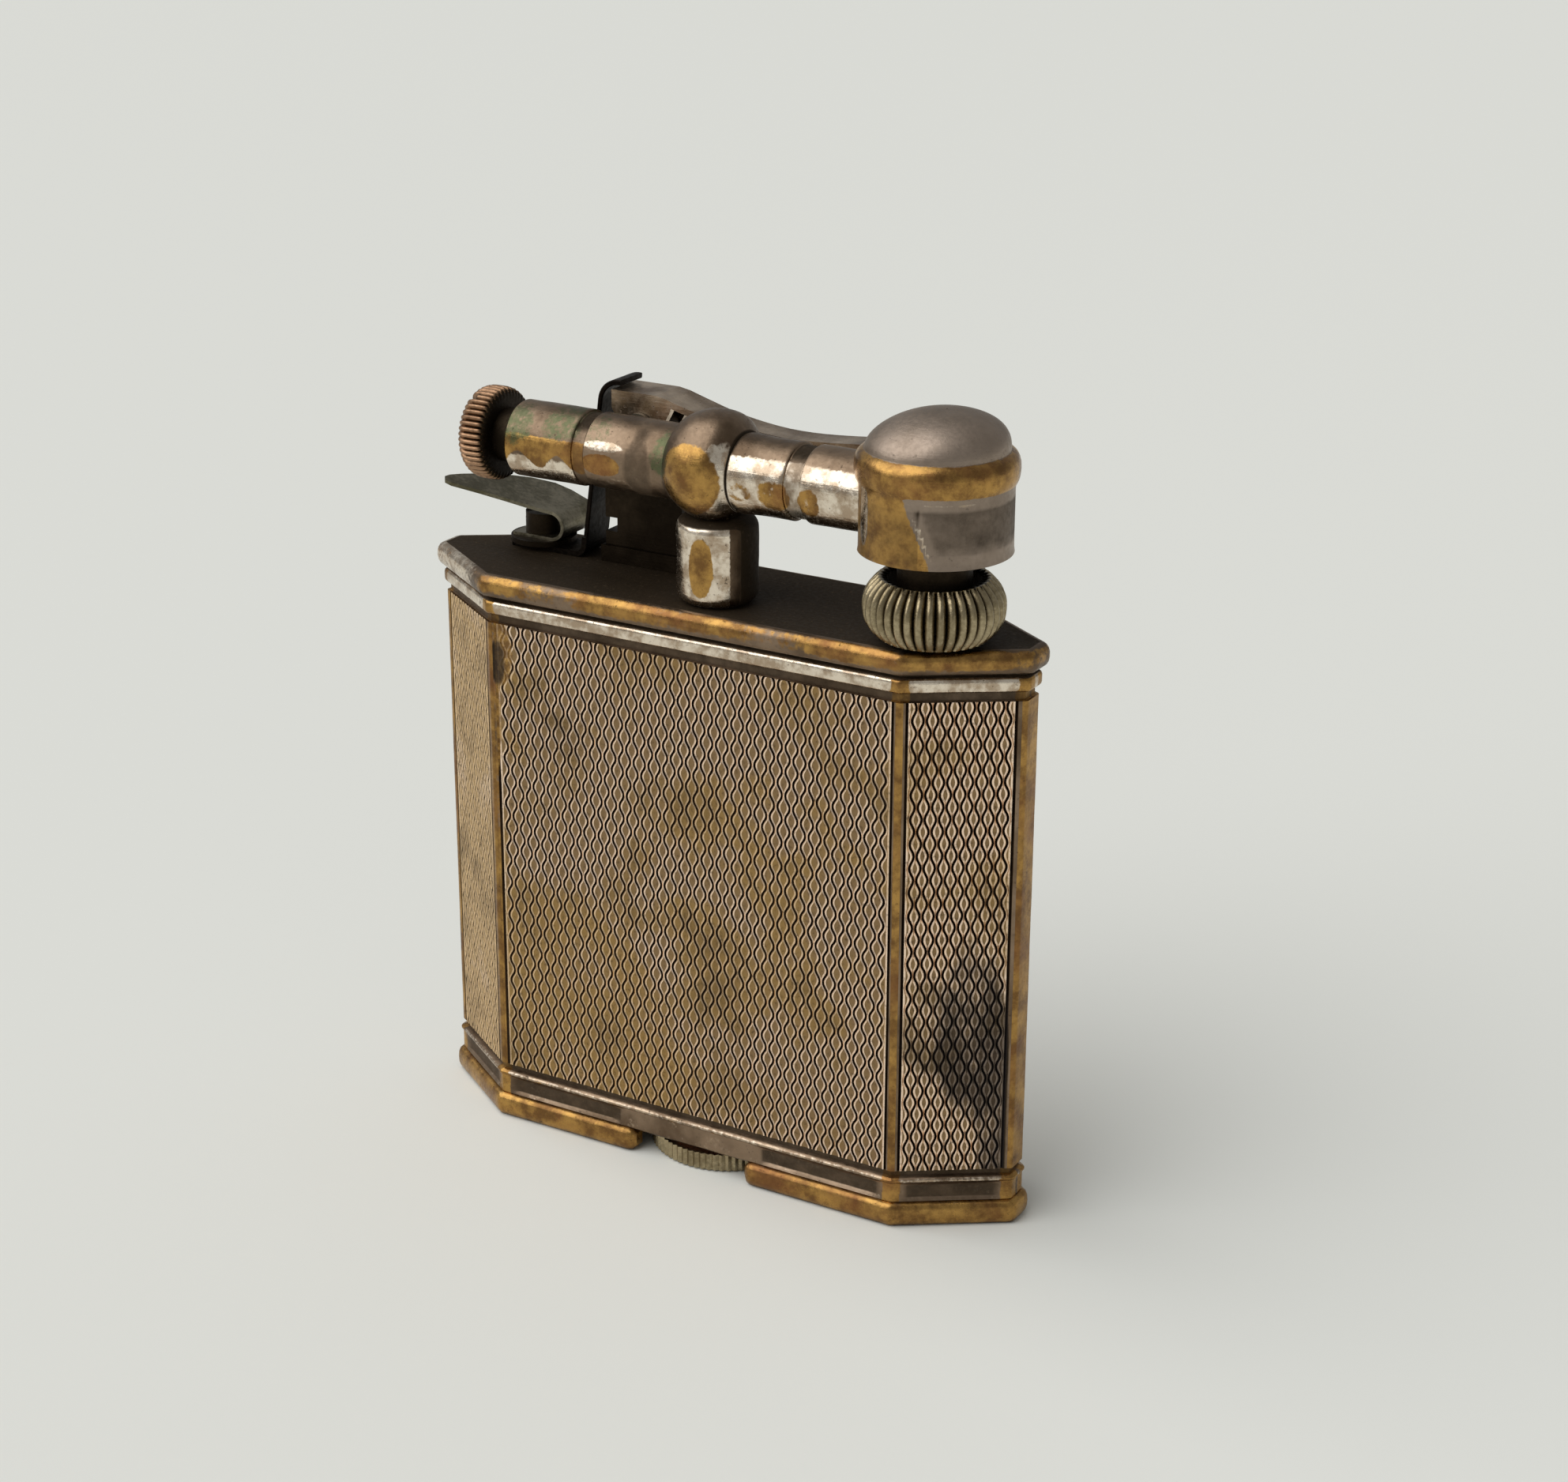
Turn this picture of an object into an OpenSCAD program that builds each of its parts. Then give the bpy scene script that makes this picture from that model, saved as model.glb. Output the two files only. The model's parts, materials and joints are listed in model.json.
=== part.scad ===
// Lift-arm pocket lighter with a long eight-sided case, a horizontal flint tube
// on a ball-and-post stand, a ribbed thumb wheel and a domed snuffer cap.
// Millimetres.  X runs along the case, Y to the back, Z up, base centre at 0.

/* [Case] */
// Width of the case between its narrow end faces
case_w = 43.4; // [35:0.1:55]
// Thickness of the case between the front and back faces
case_t = 10.3; // [8:0.1:16]
// Width of the flat front and back faces
front_w = 30.4; // [20:0.1:36]
// Width of each narrow end face
end_w = 1.6; // [1:0.1:5]
// Height of the case up to the top of its plate
case_h = 39.2; // [30:0.1:50]
// Thickness of the case wall
wall = 0.6; // [0.4:0.1:1]
// Height of the base moulding below the decorated panels
base_trim = 3.9; // [3:0.1:6]
// Height of the top moulding above the decorated panels
top_trim = 3.35; // [2.5:0.05:5]
// How far the top rim stands out from the panels
rim_out = 0.6; // [0.3:0.05:1]
// How far the base rim stands out from the panels
base_out = 0.45; // [0.2:0.05:1]

/* [Filler] */
// Radius of the coin-edged filler screw head
filler_r = 5.3; // [4:0.1:6]
// Thickness of the filler screw head
filler_t = 1.15; // [0.8:0.05:2]
// Half width of the finger cut-outs in the base rim
cutout_half = 4.25; // [3:0.05:6]

/* [Burner and wheels] */
// Sideways position of the burner and its wheels
burner_x = 15.85; // [12:0.05:17]
// Depth position shared by burner, flint tube and post
line_y = -2.1; // [-3:0.05:0]
// Largest radius of the ribbed thumb wheel
wheel_r = 4.4; // [3.5:0.05:5]
// Height of the ribbed barrel of the thumb wheel
wheel_h = 3.75; // [3:0.05:5]
// Number of ribs round the thumb wheel
rib_count = 38; // [24:1:60]
// Radius of the serrated flint wheel
flint_wheel_r = 3.4; // [2.5:0.05:4]

/* [Flint tube] */
// Height of the flint tube's axis
tube_z = 47.75; // [45:0.05:52]
// Outer radius of the flint tube
tube_r = 2.46; // [2:0.05:3]
// Radius of the channel that holds flint and spring
channel_r = 1.4; // [1.2:0.05:1.8]
// Left end of the flint tube
tube_left = -14.1; // [-16:0.1:-10]
// Sideways position of the ball and post
ball_x = 0.5; // [-3:0.05:4]
// Radius of the ball
ball_r = 3.55; // [3:0.05:4]
// Radius of the post below the ball
post_r = 2.6; // [2:0.05:3]
// Radius of the knurled flint screw head
knob_r = 3.05; // [2.5:0.05:4]
// Thickness of the knurled flint screw head
knob_t = 2.1; // [1.2:0.05:3]

/* [Lift arm] */
// Sideways position of the arm's hinge
hinge_x = -7.0; // [-9:0.05:-5]
// Height of the arm's hinge
hinge_z = 48.6; // [46:0.05:50]
// Depth position of the arm's centre line
arm_y = 2.2; // [1.5:0.05:3]
// Width of the arm's heel
heel_w = 2.9; // [2:0.05:4]
// Outer radius of the snuffer cap wall
cap_r = 4.7; // [4:0.05:6]
// Lower edge of the snuffer cap
cap_bottom = 44.9; // [44:0.05:47]

/* [Output] */
// One node's name, or all of them

/* [Hidden] */

$fn = 64;

silver = [0.66, 0.62, 0.58];
dark_silver = [0.30, 0.27, 0.25];
brass = [0.62, 0.47, 0.22];
copper_brown = [0.45, 0.30, 0.20];
nickel = [0.50, 0.49, 0.42];
steel = [0.55, 0.55, 0.52];
black_steel = [0.06, 0.05, 0.05];
cotton = [0.85, 0.82, 0.74];
fibre = [0.45, 0.18, 0.12];
flint_grey = [0.32, 0.31, 0.30];

// Angle of the slanting faces from the long axis
facet_angle = atan2((case_t - end_w) / 2, (case_w - front_w) / 2);

// Levels of the case
floor_top = 2.2;
rim_h = 1.5;
rim_bottom = case_h - rim_h;
panel_bottom = base_trim;
panel_top = case_h - top_trim;
base_ridge = [panel_bottom - 0.85, panel_bottom - 0.5];
silver_band = [panel_top + 0.6, panel_top + 1.55];
band_bevel = 0.15;
shadow_depth = 0.25;
plate_t = 1.0;
plate_bottom = case_h - plate_t;
tank_bottom = floor_top + 0.05;
tank_top = 35.2;
tank_gap = 0.35;
tank_wall = 0.4;

// Running gap between a shaft and its bore
run = 0.05;

// Filler fittings
filler_bottom = 0.12;
filler_top = filler_bottom + filler_t;
filler_shank_r = 2.5;
filler_bush_r = 3.5;
recess_top = 1.6;

// Burner column
burner_r = 1.6;
burner_bore = 1.1;
burner_bottom = 33.6;
burner_top = 50.3;
bush_top = case_h + 0.25;
wheel_bottom = bush_top + run;
hub_r = 2.3;
flint_wheel_bottom = 46.2;
flint_wheel_top = 49.6;

// Flint tube stations
neck_left = -8.0;
neck_r = tube_r - 0.05;
seam_x = ball_x + 2.1;
ball_z = tube_z + 0.2;
tube_right = 12.05;
post_top = ball_z - 3.2;
groove_depth = 0.18;
groove_w = 1.2;
left_groove = -8.36;
right_groove = 7.15;
knob_right = tube_left - 1.3;
screw_shank_r = channel_r - run;
flint_tip = burner_x - flint_wheel_r - run;
flint_len = 4.1;
plunger_len = 1.3;

// Arm sections
sheet = 0.45;
ear_t = 0.5;
pin_r = 0.7;
web_z = 2.3;
heel_back = -2.2;
ear_front = arm_y - heel_w / 2;
ear_back = arm_y + heel_w / 2;
arm_end_x = 12.5;

// Leaf springs
leaf_t = 0.35;
detent_t = 0.22;
leaf_front = 0.75;
leaf_back = 3.5;
clamp_x = -15.8;
clamp_y = 2.3;
curl_r = 1.5;
curl_from = 62;
lean = 8;
curl_x = hinge_x - 1.75;
curl_z = hinge_z + 1.53;
tangent_z = curl_z + curl_r * sin(lean);
blade_split = 40.6;
loop_r = 0.9;
loop_x = -14.35;
leaf_rise = 20;
washer_t = 0.35;
detent_bottom = case_h + leaf_t + washer_t;

// The plan outline of the case, grown outward by d
function case_outline(d) =
  let (fx = front_w / 2 + d * tan(facet_angle / 2))
  let (fy = case_t / 2 + d)
  let (ex = case_w / 2 + d)
  let (ey = end_w / 2 + d * tan((90 - facet_angle) / 2))
  [[-fx, -fy], [fx, -fy], [ex, -ey], [ex, ey], [fx, fy], [-fx, fy], [-ex, ey], [-ex, -ey]];

// A prism of the case outline between two levels
module case_prism(d, z0, z1) {
  translate([0, 0, z0]) linear_extrude(z1 - z0) polygon(case_outline(d));
}

// A moulding: [level, outward offset] steps stacked on one another
module case_moulding(steps) {
  for (i = [0 : len(steps) - 2])
    case_prism(steps[i][1], steps[i][0], steps[i + 1][0]);
}

// Half-round rim: offsets follow a circular bulge of the given height
function bulge_steps(z0, h, inner, out, n) =
  [for (i = [0 : n]) [z0 + h * i / n, inner + out * sqrt(1 - pow(2 * (i + 0.5) / n - 1, 2) * 0.98)]];

// A gear-like outline with n fine teeth
function toothed(n, r, depth, skew) =
  [for (i = [0 : n - 1]) for (k = [0, 1])
    let (a = 360 * (i + (k == 0 ? 0 : skew)) / n)
    let (q = k == 0 ? r : r - depth)
    [q * cos(a), q * sin(a)]];

// Puts a shape drawn along Z onto the flint tube's axis, starting at x
module on_tube(x) {
  translate([x, line_y, tube_z]) rotate([0, 90, 0]) children();
}

// Draws an X-Z outline as a sheet between two depths
module side_sheet(y0, y1) {
  translate([0, y1, 0]) rotate([90, 0, 0]) linear_extrude(y1 - y0) children();
}

// ---- case ----

module body_shell() {
  color(silver) difference() {
    union() {
      case_prism(-0.1, floor_top, base_ridge[0]);
      case_prism(0.15, base_ridge[0], base_ridge[1]);
      case_prism(-shadow_depth, base_ridge[1], panel_bottom);
      case_prism(0, panel_bottom, panel_top);
      case_prism(-shadow_depth, panel_top, silver_band[0]);
      case_prism(0.05, silver_band[0], silver_band[1]);
      case_prism(0.17, silver_band[0] + band_bevel, silver_band[1] - band_bevel);
      case_prism(-0.15, silver_band[1], rim_bottom);
    }
    case_prism(-wall, floor_top - 1, rim_bottom + 1);
  }
}

module top_plate() {
  post_hole = 0.95;
  rivet_hole = 0.9;
  screw_hole = 0.75;
  color(dark_silver) difference() {
    case_moulding(bulge_steps(rim_bottom, rim_h, 0, rim_out, 10));
    case_prism(-wall, rim_bottom - 1, plate_bottom);
    translate([burner_x, line_y, 0]) cylinder(r = burner_r + run, h = 60);
    translate([ball_x, line_y, 0]) cylinder(r = post_hole + run, h = 60);
    translate([hinge_x, arm_y, 0]) cylinder(r = rivet_hole + run, h = 60);
    translate([clamp_x, clamp_y, 0]) cylinder(r = screw_hole, h = 60);
  }
}

module base_plate() {
  base_rim_h = 1.65;
  color(brass) difference() {
    union() {
      case_moulding(bulge_steps(0, base_rim_h, 0, base_out, 10));
      case_prism(-0.3, base_rim_h - 0.1, floor_top);
    }
    translate([0, 0, -1]) cylinder(r = filler_r + 0.3, h = recess_top + 1);
    cutouts = 2 * cutout_half;
    for (side = [-1, 1])
      translate([-cutout_half, side * (case_t / 2 + 1) - 1.55, -1]) cube([cutouts, 3.1, recess_top + 1]);
    cylinder(r = filler_shank_r + 0.1, h = 5);
    translate([0, 0, -1]) linear_extrude(1.2)
      difference() {
        polygon(case_outline(-1));
        square([4 * cutout_half, 3 * case_t], center = true);
      }
  }
}

module fuel_tank() {
  color(brass) difference() {
    case_prism(-wall - tank_gap, tank_bottom, tank_top);
    case_prism(-wall - tank_gap - tank_wall, tank_bottom + tank_wall, tank_top - tank_wall);
    translate([0, 0, tank_bottom - 1]) cylinder(r = filler_bush_r + run, h = 3);
    translate([burner_x, line_y, tank_top - 2]) cylinder(r = burner_r + run, h = 4);
  }
}

module cotton_wadding() {
  color(cotton) difference() {
    case_prism(-wall - tank_gap - tank_wall - 0.05, 5.6, tank_top - tank_wall - 0.3);
    translate([burner_x, line_y, 0]) cylinder(r = burner_r + 0.2, h = 60);
  }
}

module filler_bush() {
  color(brass) difference() {
    translate([0, 0, floor_top]) cylinder(r = filler_bush_r, h = 3.1);
    cylinder(r = filler_shank_r + run, h = 9);
  }
}

module filler_washer() {
  color(fibre) difference() {
    translate([0, 0, filler_top + 0.02]) cylinder(r = 4.6, h = recess_top - filler_top - 0.02);
    cylinder(r = filler_shank_r + 0.15, h = 5);
  }
}

module filler_screw() {
  coin_teeth = 72;
  slot_w = 1.1;
  color(brass) difference() {
    union() {
      translate([0, 0, filler_bottom]) linear_extrude(filler_t)
        polygon(toothed(coin_teeth, filler_r, 0.14, 0.5));
      translate([0, 0, filler_bottom + 0.4]) cylinder(r = filler_shank_r, h = 4.4);
    }
    translate([-3.6, -slot_w / 2, filler_bottom - 1]) cube([7.2, slot_w, 1.6]);
  }
}

// ---- burner and wheels ----

module burner_tube() {
  color(brass) translate([burner_x, line_y, 0]) difference() {
    translate([0, 0, burner_bottom]) cylinder(r = burner_r, h = burner_top - burner_bottom);
    translate([0, 0, burner_bottom - 1]) cylinder(r = burner_bore, h = 30);
  }
}

module burner_bush() {
  color(brass) translate([burner_x, line_y, case_h]) difference() {
    cylinder(r = 2.4, h = bush_top - case_h);
    translate([0, 0, -1]) cylinder(r = burner_r + 0.02, h = 3);
  }
}

module wick() {
  wick_r = 1.0;
  wick_top = burner_top + 0.8;
  color(cotton) translate([burner_x, line_y, burner_bottom + 0.1])
    cylinder(r = wick_r, h = wick_top - burner_bottom - 0.1);
}

// Half outline of the barrel, from radius r0 out to radius r at mid height
function barrel_outline(r0, r, n) = concat(
  [[r0, 0]],
  [for (i = [0 : n]) let (u = 2 * i / n - 1) [r - 0.95 * pow(abs(u), 2.4), wheel_h * i / n]],
  [[r0, wheel_h]]);

module thumb_wheel() {
  rib_depth = 0.22;
  rib_t = 0.4;
  color(nickel) translate([burner_x, line_y, wheel_bottom]) difference() {
    union() {
      rotate_extrude() polygon(barrel_outline(0, wheel_r - rib_depth, 8));
      for (i = [0 : rib_count - 1])
        rotate([90, 0, 360 * i / rib_count]) translate([0, 0, -rib_t / 2])
          linear_extrude(rib_t) polygon(barrel_outline(3.3, wheel_r, 8));
      cylinder(r = hub_r, h = flint_wheel_bottom - wheel_bottom);
    }
    dish_depth = 1.0;
    difference() {
      translate([0, 0, wheel_h - dish_depth]) cylinder(r1 = 2.6, r2 = 3.15, h = dish_depth + 0.01);
      cylinder(r = hub_r, h = 20);
    }
    translate([0, 0, -1]) cylinder(r = burner_r + run, h = 20);
  }
}

module flint_wheel() {
  tooth_count = 44;
  color(steel) translate([burner_x, line_y, flint_wheel_bottom]) difference() {
    linear_extrude(flint_wheel_top - flint_wheel_bottom)
      polygon(toothed(tooth_count, flint_wheel_r, 0.22, 0.85));
    translate([0, 0, -1]) cylinder(r = burner_r + run, h = 9);
  }
}

module wheel_collar() {
  color(brass) translate([burner_x, line_y, flint_wheel_top + run]) difference() {
    cylinder(r = 2.1, h = 0.6);
    translate([0, 0, -1]) cylinder(r = burner_r + 0.02, h = 3);
    translate([-3, -0.25, 0.35]) cube([6, 0.5, 1]);
  }
}

// ---- flint tube ----

// Half outline of a tube section from the axis, with both ends eased by e
function eased_tube(r, len, e) = [[0, 0], [r - e, 0], [r - 0.3 * e, 0.3 * e], [r, e],
  [r, len - e], [r - 0.3 * e, len - 0.3 * e], [r - e, len], [0, len]];

module channel() {
  on_tube(-30) cylinder(r = channel_r, h = 60);
}

module tube_groove(x, r) {
  on_tube(x - groove_w / 2) difference() {
    cylinder(r = r + 1, h = groove_w);
    translate([0, 0, -1]) cylinder(r = r - groove_depth, h = groove_w + 2);
  }
}

module flint_tube_left() {
  color(silver) difference() {
    on_tube(tube_left) rotate_extrude() polygon(eased_tube(tube_r, neck_left - tube_left, 0.25));
    tube_groove(left_groove, tube_r);
    channel();
  }
}

module ball_joint() {
  shoulder = 1.2;
  color(brass) difference() {
    union() {
      on_tube(neck_left) cylinder(r = neck_r, h = ball_x - neck_left);
      difference() {
        translate([ball_x, line_y, ball_z]) sphere(r = ball_r);
        translate([ball_x, line_y, ball_z]) rotate([0, 90, 0]) rotate_extrude()
          polygon([[ball_r - 0.2, shoulder], [tube_r + 0.2, seam_x - ball_x], [tube_r + 0.2, 5],
            [6, 5], [6, shoulder]]);
      }
    }
    translate([seam_x, line_y - 5, tube_z - 5]) cube(10);
    translate([ball_x - 5, line_y - 5, post_top - 10]) cube(10);
    channel();
  }
}

module flint_tube_right() {
  color(silver) difference() {
    on_tube(seam_x) rotate_extrude() polygon(eased_tube(tube_r, tube_right - seam_x, 0.2));
    tube_groove(right_groove, tube_r);
    channel();
  }
}

// Quarter-round corner points of radius e about [cx, cy]
function corner(cx, cy, e, a0, a1, n) =
  [for (i = [0 : n]) let (a = a0 + (a1 - a0) * i / n) [cx + e * cos(a), cy + e * sin(a)]];

module tube_post() {
  foot_round = 0.75;
  head_round = 0.9;
  h = post_top - case_h;
  stud_r = 0.95;
  color(silver) translate([ball_x, line_y, case_h]) {
    rotate_extrude() polygon(concat(
      [[0, 0]],
      corner(post_r - foot_round, foot_round, foot_round, -90, 0, 6),
      corner(post_r - head_round, h - head_round, head_round, 0, 90, 6),
      [[0, h]]));
    translate([0, 0, -2.3]) cylinder(r = stud_r, h = 2.4);
  }
}

module post_nut() {
  color(brass) translate([ball_x, line_y, plate_bottom - 0.95]) difference() {
    cylinder(r = 2.1, h = 0.95, $fn = 6);
    translate([0, 0, -1]) cylinder(r = 0.97, h = 4);
  }
}

module flint() {
  color(flint_grey) on_tube(flint_tip - flint_len) cylinder(r = 1.25, h = flint_len);
}

module flint_plunger() {
  color(brass) on_tube(flint_tip - flint_len - plunger_len) {
    cylinder(r = 0.6, h = plunger_len);
    translate([0, 0, plunger_len - 0.6]) cylinder(r = 1.3, h = 0.6);
  }
}

// Coil swept along the tube's axis as one closed mesh
module coil(r, wire, len, turns) {
  sides = 6;
  steps = 12;
  total = turns * steps;
  points = [for (i = [0 : total]) for (k = [0 : sides - 1])
    let (a = 360 * i / steps)
    let (b = 360 * k / sides)
    let (q = r + wire * cos(b))
    [q * cos(a), q * sin(a), len * i / total + wire * sin(b)]];
  skins = [for (i = [0 : total - 1]) for (k = [0 : sides - 1])
    let (m = (k + 1) % sides)
    [i * sides + k, (i + 1) * sides + k, (i + 1) * sides + m, i * sides + m]];
  ends = [[for (k = [0 : sides - 1]) k], [for (k = [sides - 1 : -1 : 0]) total * sides + k]];
  polyhedron(points, concat(skins, ends));
}

module flint_spring() {
  spring_left = tube_left + 3.6;
  spring_right = flint_tip - flint_len - 0.75;
  color(steel) on_tube(spring_left) coil(1.05, 0.17, spring_right - spring_left, 20);
}

module flint_screw() {
  knob_teeth = 46;
  crown = 0.4;
  slot_w = 0.6;
  shank_len = 3.3;
  color(copper_brown) on_tube(knob_right - knob_t) difference() {
    union() {
      translate([0, 0, crown]) linear_extrude(knob_t - crown)
        polygon(toothed(knob_teeth, knob_r, 0.14, 0.5));
      rotate_extrude() polygon([[0, 0], [knob_r - 0.6, 0], [knob_r - 0.3, 0.15],
        [knob_r - 0.16, crown], [knob_r - 0.16, knob_t / 2], [0, knob_t / 2]]);
      translate([0, 0, knob_t]) cylinder(r = 1.75, h = 1.1);
      translate([0, 0, knob_t - 0.1]) cylinder(r = screw_shank_r, h = shank_len + 1.4);
    }
    rotate([0, 0, 28]) translate([-4, -slot_w / 2, -1]) cube([8, slot_w, 1.75]);
  }
}

// ---- lift arm and snuffer ----

module arm_bracket() {
  half = (heel_w - 2 * ear_t) / 2 - 0.1;
  pillar_r = 1.45;
  shoulder = 45.3;
  block_left = hinge_x - 3.2;
  block_w = 5.9;
  color(black_steel) difference() {
    union() {
      translate([block_left, arm_y - half, case_h]) cube([block_w, 2 * half, shoulder - case_h]);
      translate([block_left - 0.2, arm_y - half - 0.3, case_h]) cube([block_w + 0.3, 2 * half + 0.6, 1.1]);
      translate([hinge_x - pillar_r, arm_y - half, shoulder - 1])
        cube([2 * pillar_r, 2 * half, hinge_z - shoulder + 1]);
      translate([hinge_x, arm_y + half, hinge_z]) rotate([90, 0, 0]) cylinder(r = pillar_r, h = 2 * half);
      translate([hinge_x, arm_y, case_h - 1.9]) cylinder(r = 0.9, h = 2);
    }
    translate([block_left - 0.8, arm_y - 3, case_h + 2]) cube([1.7, 6, 0.95]);
    translate([hinge_x, arm_y + 3, hinge_z]) rotate([90, 0, 0]) cylinder(r = pin_r, h = 6);
  }
}

module arm_pin() {
  head_r = 1.05;
  color(steel) translate([hinge_x, 0, hinge_z]) rotate([-90, 0, 0]) {
    translate([0, 0, ear_front - 0.3]) cylinder(r = pin_r, h = heel_w + 0.6);
    translate([0, 0, ear_front - 0.35]) cylinder(r = head_r, h = 0.3);
    translate([0, 0, ear_back + 0.05]) cylinder(r = head_r, h = 0.3);
  }
}

function smooth(t) = let (u = max(0, min(1, t))) u * u * (3 - 2 * u);

// Height of the arm's top face along its length
function arm_top(x) = let (t = max(0, min(1, (x - (hinge_x + 1.5)) / 8.8)))
  hinge_z + web_z - 1.65 * (1 - pow(1 - t, 1.7)) + 0.75 * smooth((x - 4) / 8.5);

// Depth of the strip's centre line along its length
function strip_y(x) = arm_y + 0.25 * smooth((x + 4) / 4) - 0.85 * smooth((x - 4.5) / 8);

function strip_half(x) = heel_w / 2 - 0.42 * smooth((x + 4) / 3.5);

module arm_band() {
  stations = 26;
  x0 = hinge_x + heel_back;
  dx = (arm_end_x - x0) / stations;
  side_sheet(ear_front - 1, ear_back + 1) polygon(concat(
    [for (i = [0 : stations]) [x0 + i * dx, arm_top(x0 + i * dx)]],
    [for (i = [stations : -1 : 0]) [x0 + i * dx, arm_top(x0 + i * dx) - sheet]]));
}

module arm_plan() {
  stations = 22;
  x0 = hinge_x + heel_back;
  dx = (arm_end_x - x0) / stations;
  translate([0, 0, 44]) linear_extrude(10) polygon(concat(
    [for (i = [0 : stations]) let (x = x0 + i * dx) [x, strip_y(x) - strip_half(x)]],
    [for (i = [stations : -1 : 0]) let (x = x0 + i * dx) [x, strip_y(x) + strip_half(x)]]));
}

module arm_ear(y0) {
  side_sheet(y0, y0 + ear_t) translate([hinge_x, hinge_z]) {
    polygon([[heel_back, web_z - 0.2], [2.4, web_z - 0.35], [2.2, 1.3], [1.25, -0.4], [-1.25, -0.4],
      [heel_back, 1.1]]);
    circle(r = 1.3);
  }
}

// Saddle that holds the cap, between two angles round the burner axis
module arm_saddle() {
  saddle_t = 0.5;
  translate([burner_x, line_y, 0]) rotate([0, 0, 104]) rotate_extrude(angle = 38)
    translate([cap_r - 0.2, 47.7]) square([saddle_t + 0.2, 1.4]);
  translate([burner_x, line_y, 0]) rotate([0, 0, 122]) rotate_extrude(angle = 17)
    translate([cap_r + 0.1, 48.8]) square([saddle_t + 0.25, 1.4]);
}

module lift_arm() {
  color(dark_silver) difference() {
    union() {
      intersection() {
        arm_band();
        arm_plan();
      }
      arm_ear(ear_front);
      arm_ear(ear_back - ear_t);
      arm_saddle();
    }
    translate([burner_x, line_y, 40]) cylinder(r = cap_r, h = 15);
    translate([burner_x, line_y, 49.1]) cylinder(r = cap_r + 0.31, h = 3);
    translate([hinge_x, arm_y + 3, hinge_z]) rotate([90, 0, 0]) cylinder(r = pin_r + 0.04, h = 6);
    rivet_pair();
  }
}

// Outer line of the cap from bottom edge to crown, moved inward by d
function dome_z(r, base) = 51.2 + 2.35 * pow(max(0, 1 - pow(r / base, 1.85)), 1 / 1.85);

function cap_wall(d) = [[cap_r - 0.12 - d, cap_bottom + 0.02], [cap_r - d, cap_bottom + 0.3],
  [cap_r - d, 49.0], [cap_r + 0.16 - d, 49.3], [cap_r + 0.28 - d, 49.75], [cap_r + 0.3 - d, 50.3],
  [cap_r + 0.2 - d, 50.8], [cap_r - 0.02 - d, 51.1]];

function cap_dome(d) = [for (i = [0 : 14]) let (r = (cap_r - 0.32 - d) * cos(90 * i / 14))
  [r, dome_z(r, cap_r - 0.32 - d) - d]];

function cap_outline(d) = concat([[0, cap_bottom - (d > 0 ? 1 : 0)],
  [cap_r - 0.2 - d, cap_bottom - (d > 0 ? 1 : 0)]], cap_wall(d), cap_dome(d));

module snuffer_cap() {
  cap_t = 0.4;
  gate_half = tube_r + 0.2;
  color(dark_silver) difference() {
    translate([burner_x, line_y, 0]) rotate_extrude() polygon(cap_outline(0));
    translate([burner_x, line_y, 0]) rotate_extrude() polygon(cap_outline(cap_t));
    on_tube(burner_x - 8) cylinder(r = gate_half, h = 7);
    translate([burner_x - 8, line_y, cap_bottom]) rotate([90, 0, 90]) linear_extrude(7)
      polygon([[-gate_half, tube_z - cap_bottom], [-gate_half, 1.2], [-gate_half - 0.45, 0.4],
        [-gate_half - 1.5, -0.1], [gate_half + 1.5, -0.1], [gate_half + 0.45, 0.4], [gate_half, 1.2],
        [gate_half, tube_z - cap_bottom]]);
    rivet_pair();
  }
}

// Rivet shank on the burner-centred ray at the given angle
module rivet(angle, r, r0, r1) {
  translate([burner_x, line_y, 48.3]) rotate([0, 0, angle]) rotate([0, 90, 0])
    translate([0, 0, r0]) cylinder(r = r, h = r1 - r0, $fn = 24);
}

rivet_angles = [112, 132];

module rivet_pair() {
  for (angle = rivet_angles)
    rivet(angle, 0.32, 3, 7);
}

module cap_rivet(angle) {
  inner = cap_r - 0.4;
  outer = cap_r + 0.5;
  color(brass) {
    rivet(angle, 0.3, inner - 0.1, outer + 0.1);
    rivet(angle, 0.5, inner - 0.3, inner - 0.06);
    rivet(angle, 0.5, outer + 0.05, outer + 0.28);
  }
}

module cap_rivet_a() {
  cap_rivet(rivet_angles[0]);
}

module cap_rivet_b() {
  cap_rivet(rivet_angles[1]);
}

// ---- leaf springs ----

// Band of thickness t along an arc of radius r
function arc_band(cx, cz, r, t, a0, a1, n) = concat(
  corner(cx, cz, r + t / 2, a0, a1, n), corner(cx, cz, r - t / 2, a1, a0, n));

// Position along the straight of the blade at level z
function blade_x(z) = curl_x - curl_r * cos(lean) + (z - tangent_z) * tan(lean);

module blade_straight(z0, z1) {
  half = leaf_t / 2 / cos(lean);
  polygon([[blade_x(z0) - half, z0], [blade_x(z0) + half, z0],
    [blade_x(z1) + half, z1], [blade_x(z1) - half, z1]]);
}

module arm_spring_blade() {
  color(black_steel) side_sheet(leaf_front + 0.1, leaf_back) {
    polygon(arc_band(curl_x, curl_z, curl_r, leaf_t, curl_from, 181 - lean, 14));
    blade_straight(blade_split + 0.06, tangent_z);
  }
}

module clamp_hole() {
  translate([clamp_x, clamp_y, 30]) cylinder(r = 0.75, h = 20);
}

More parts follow.
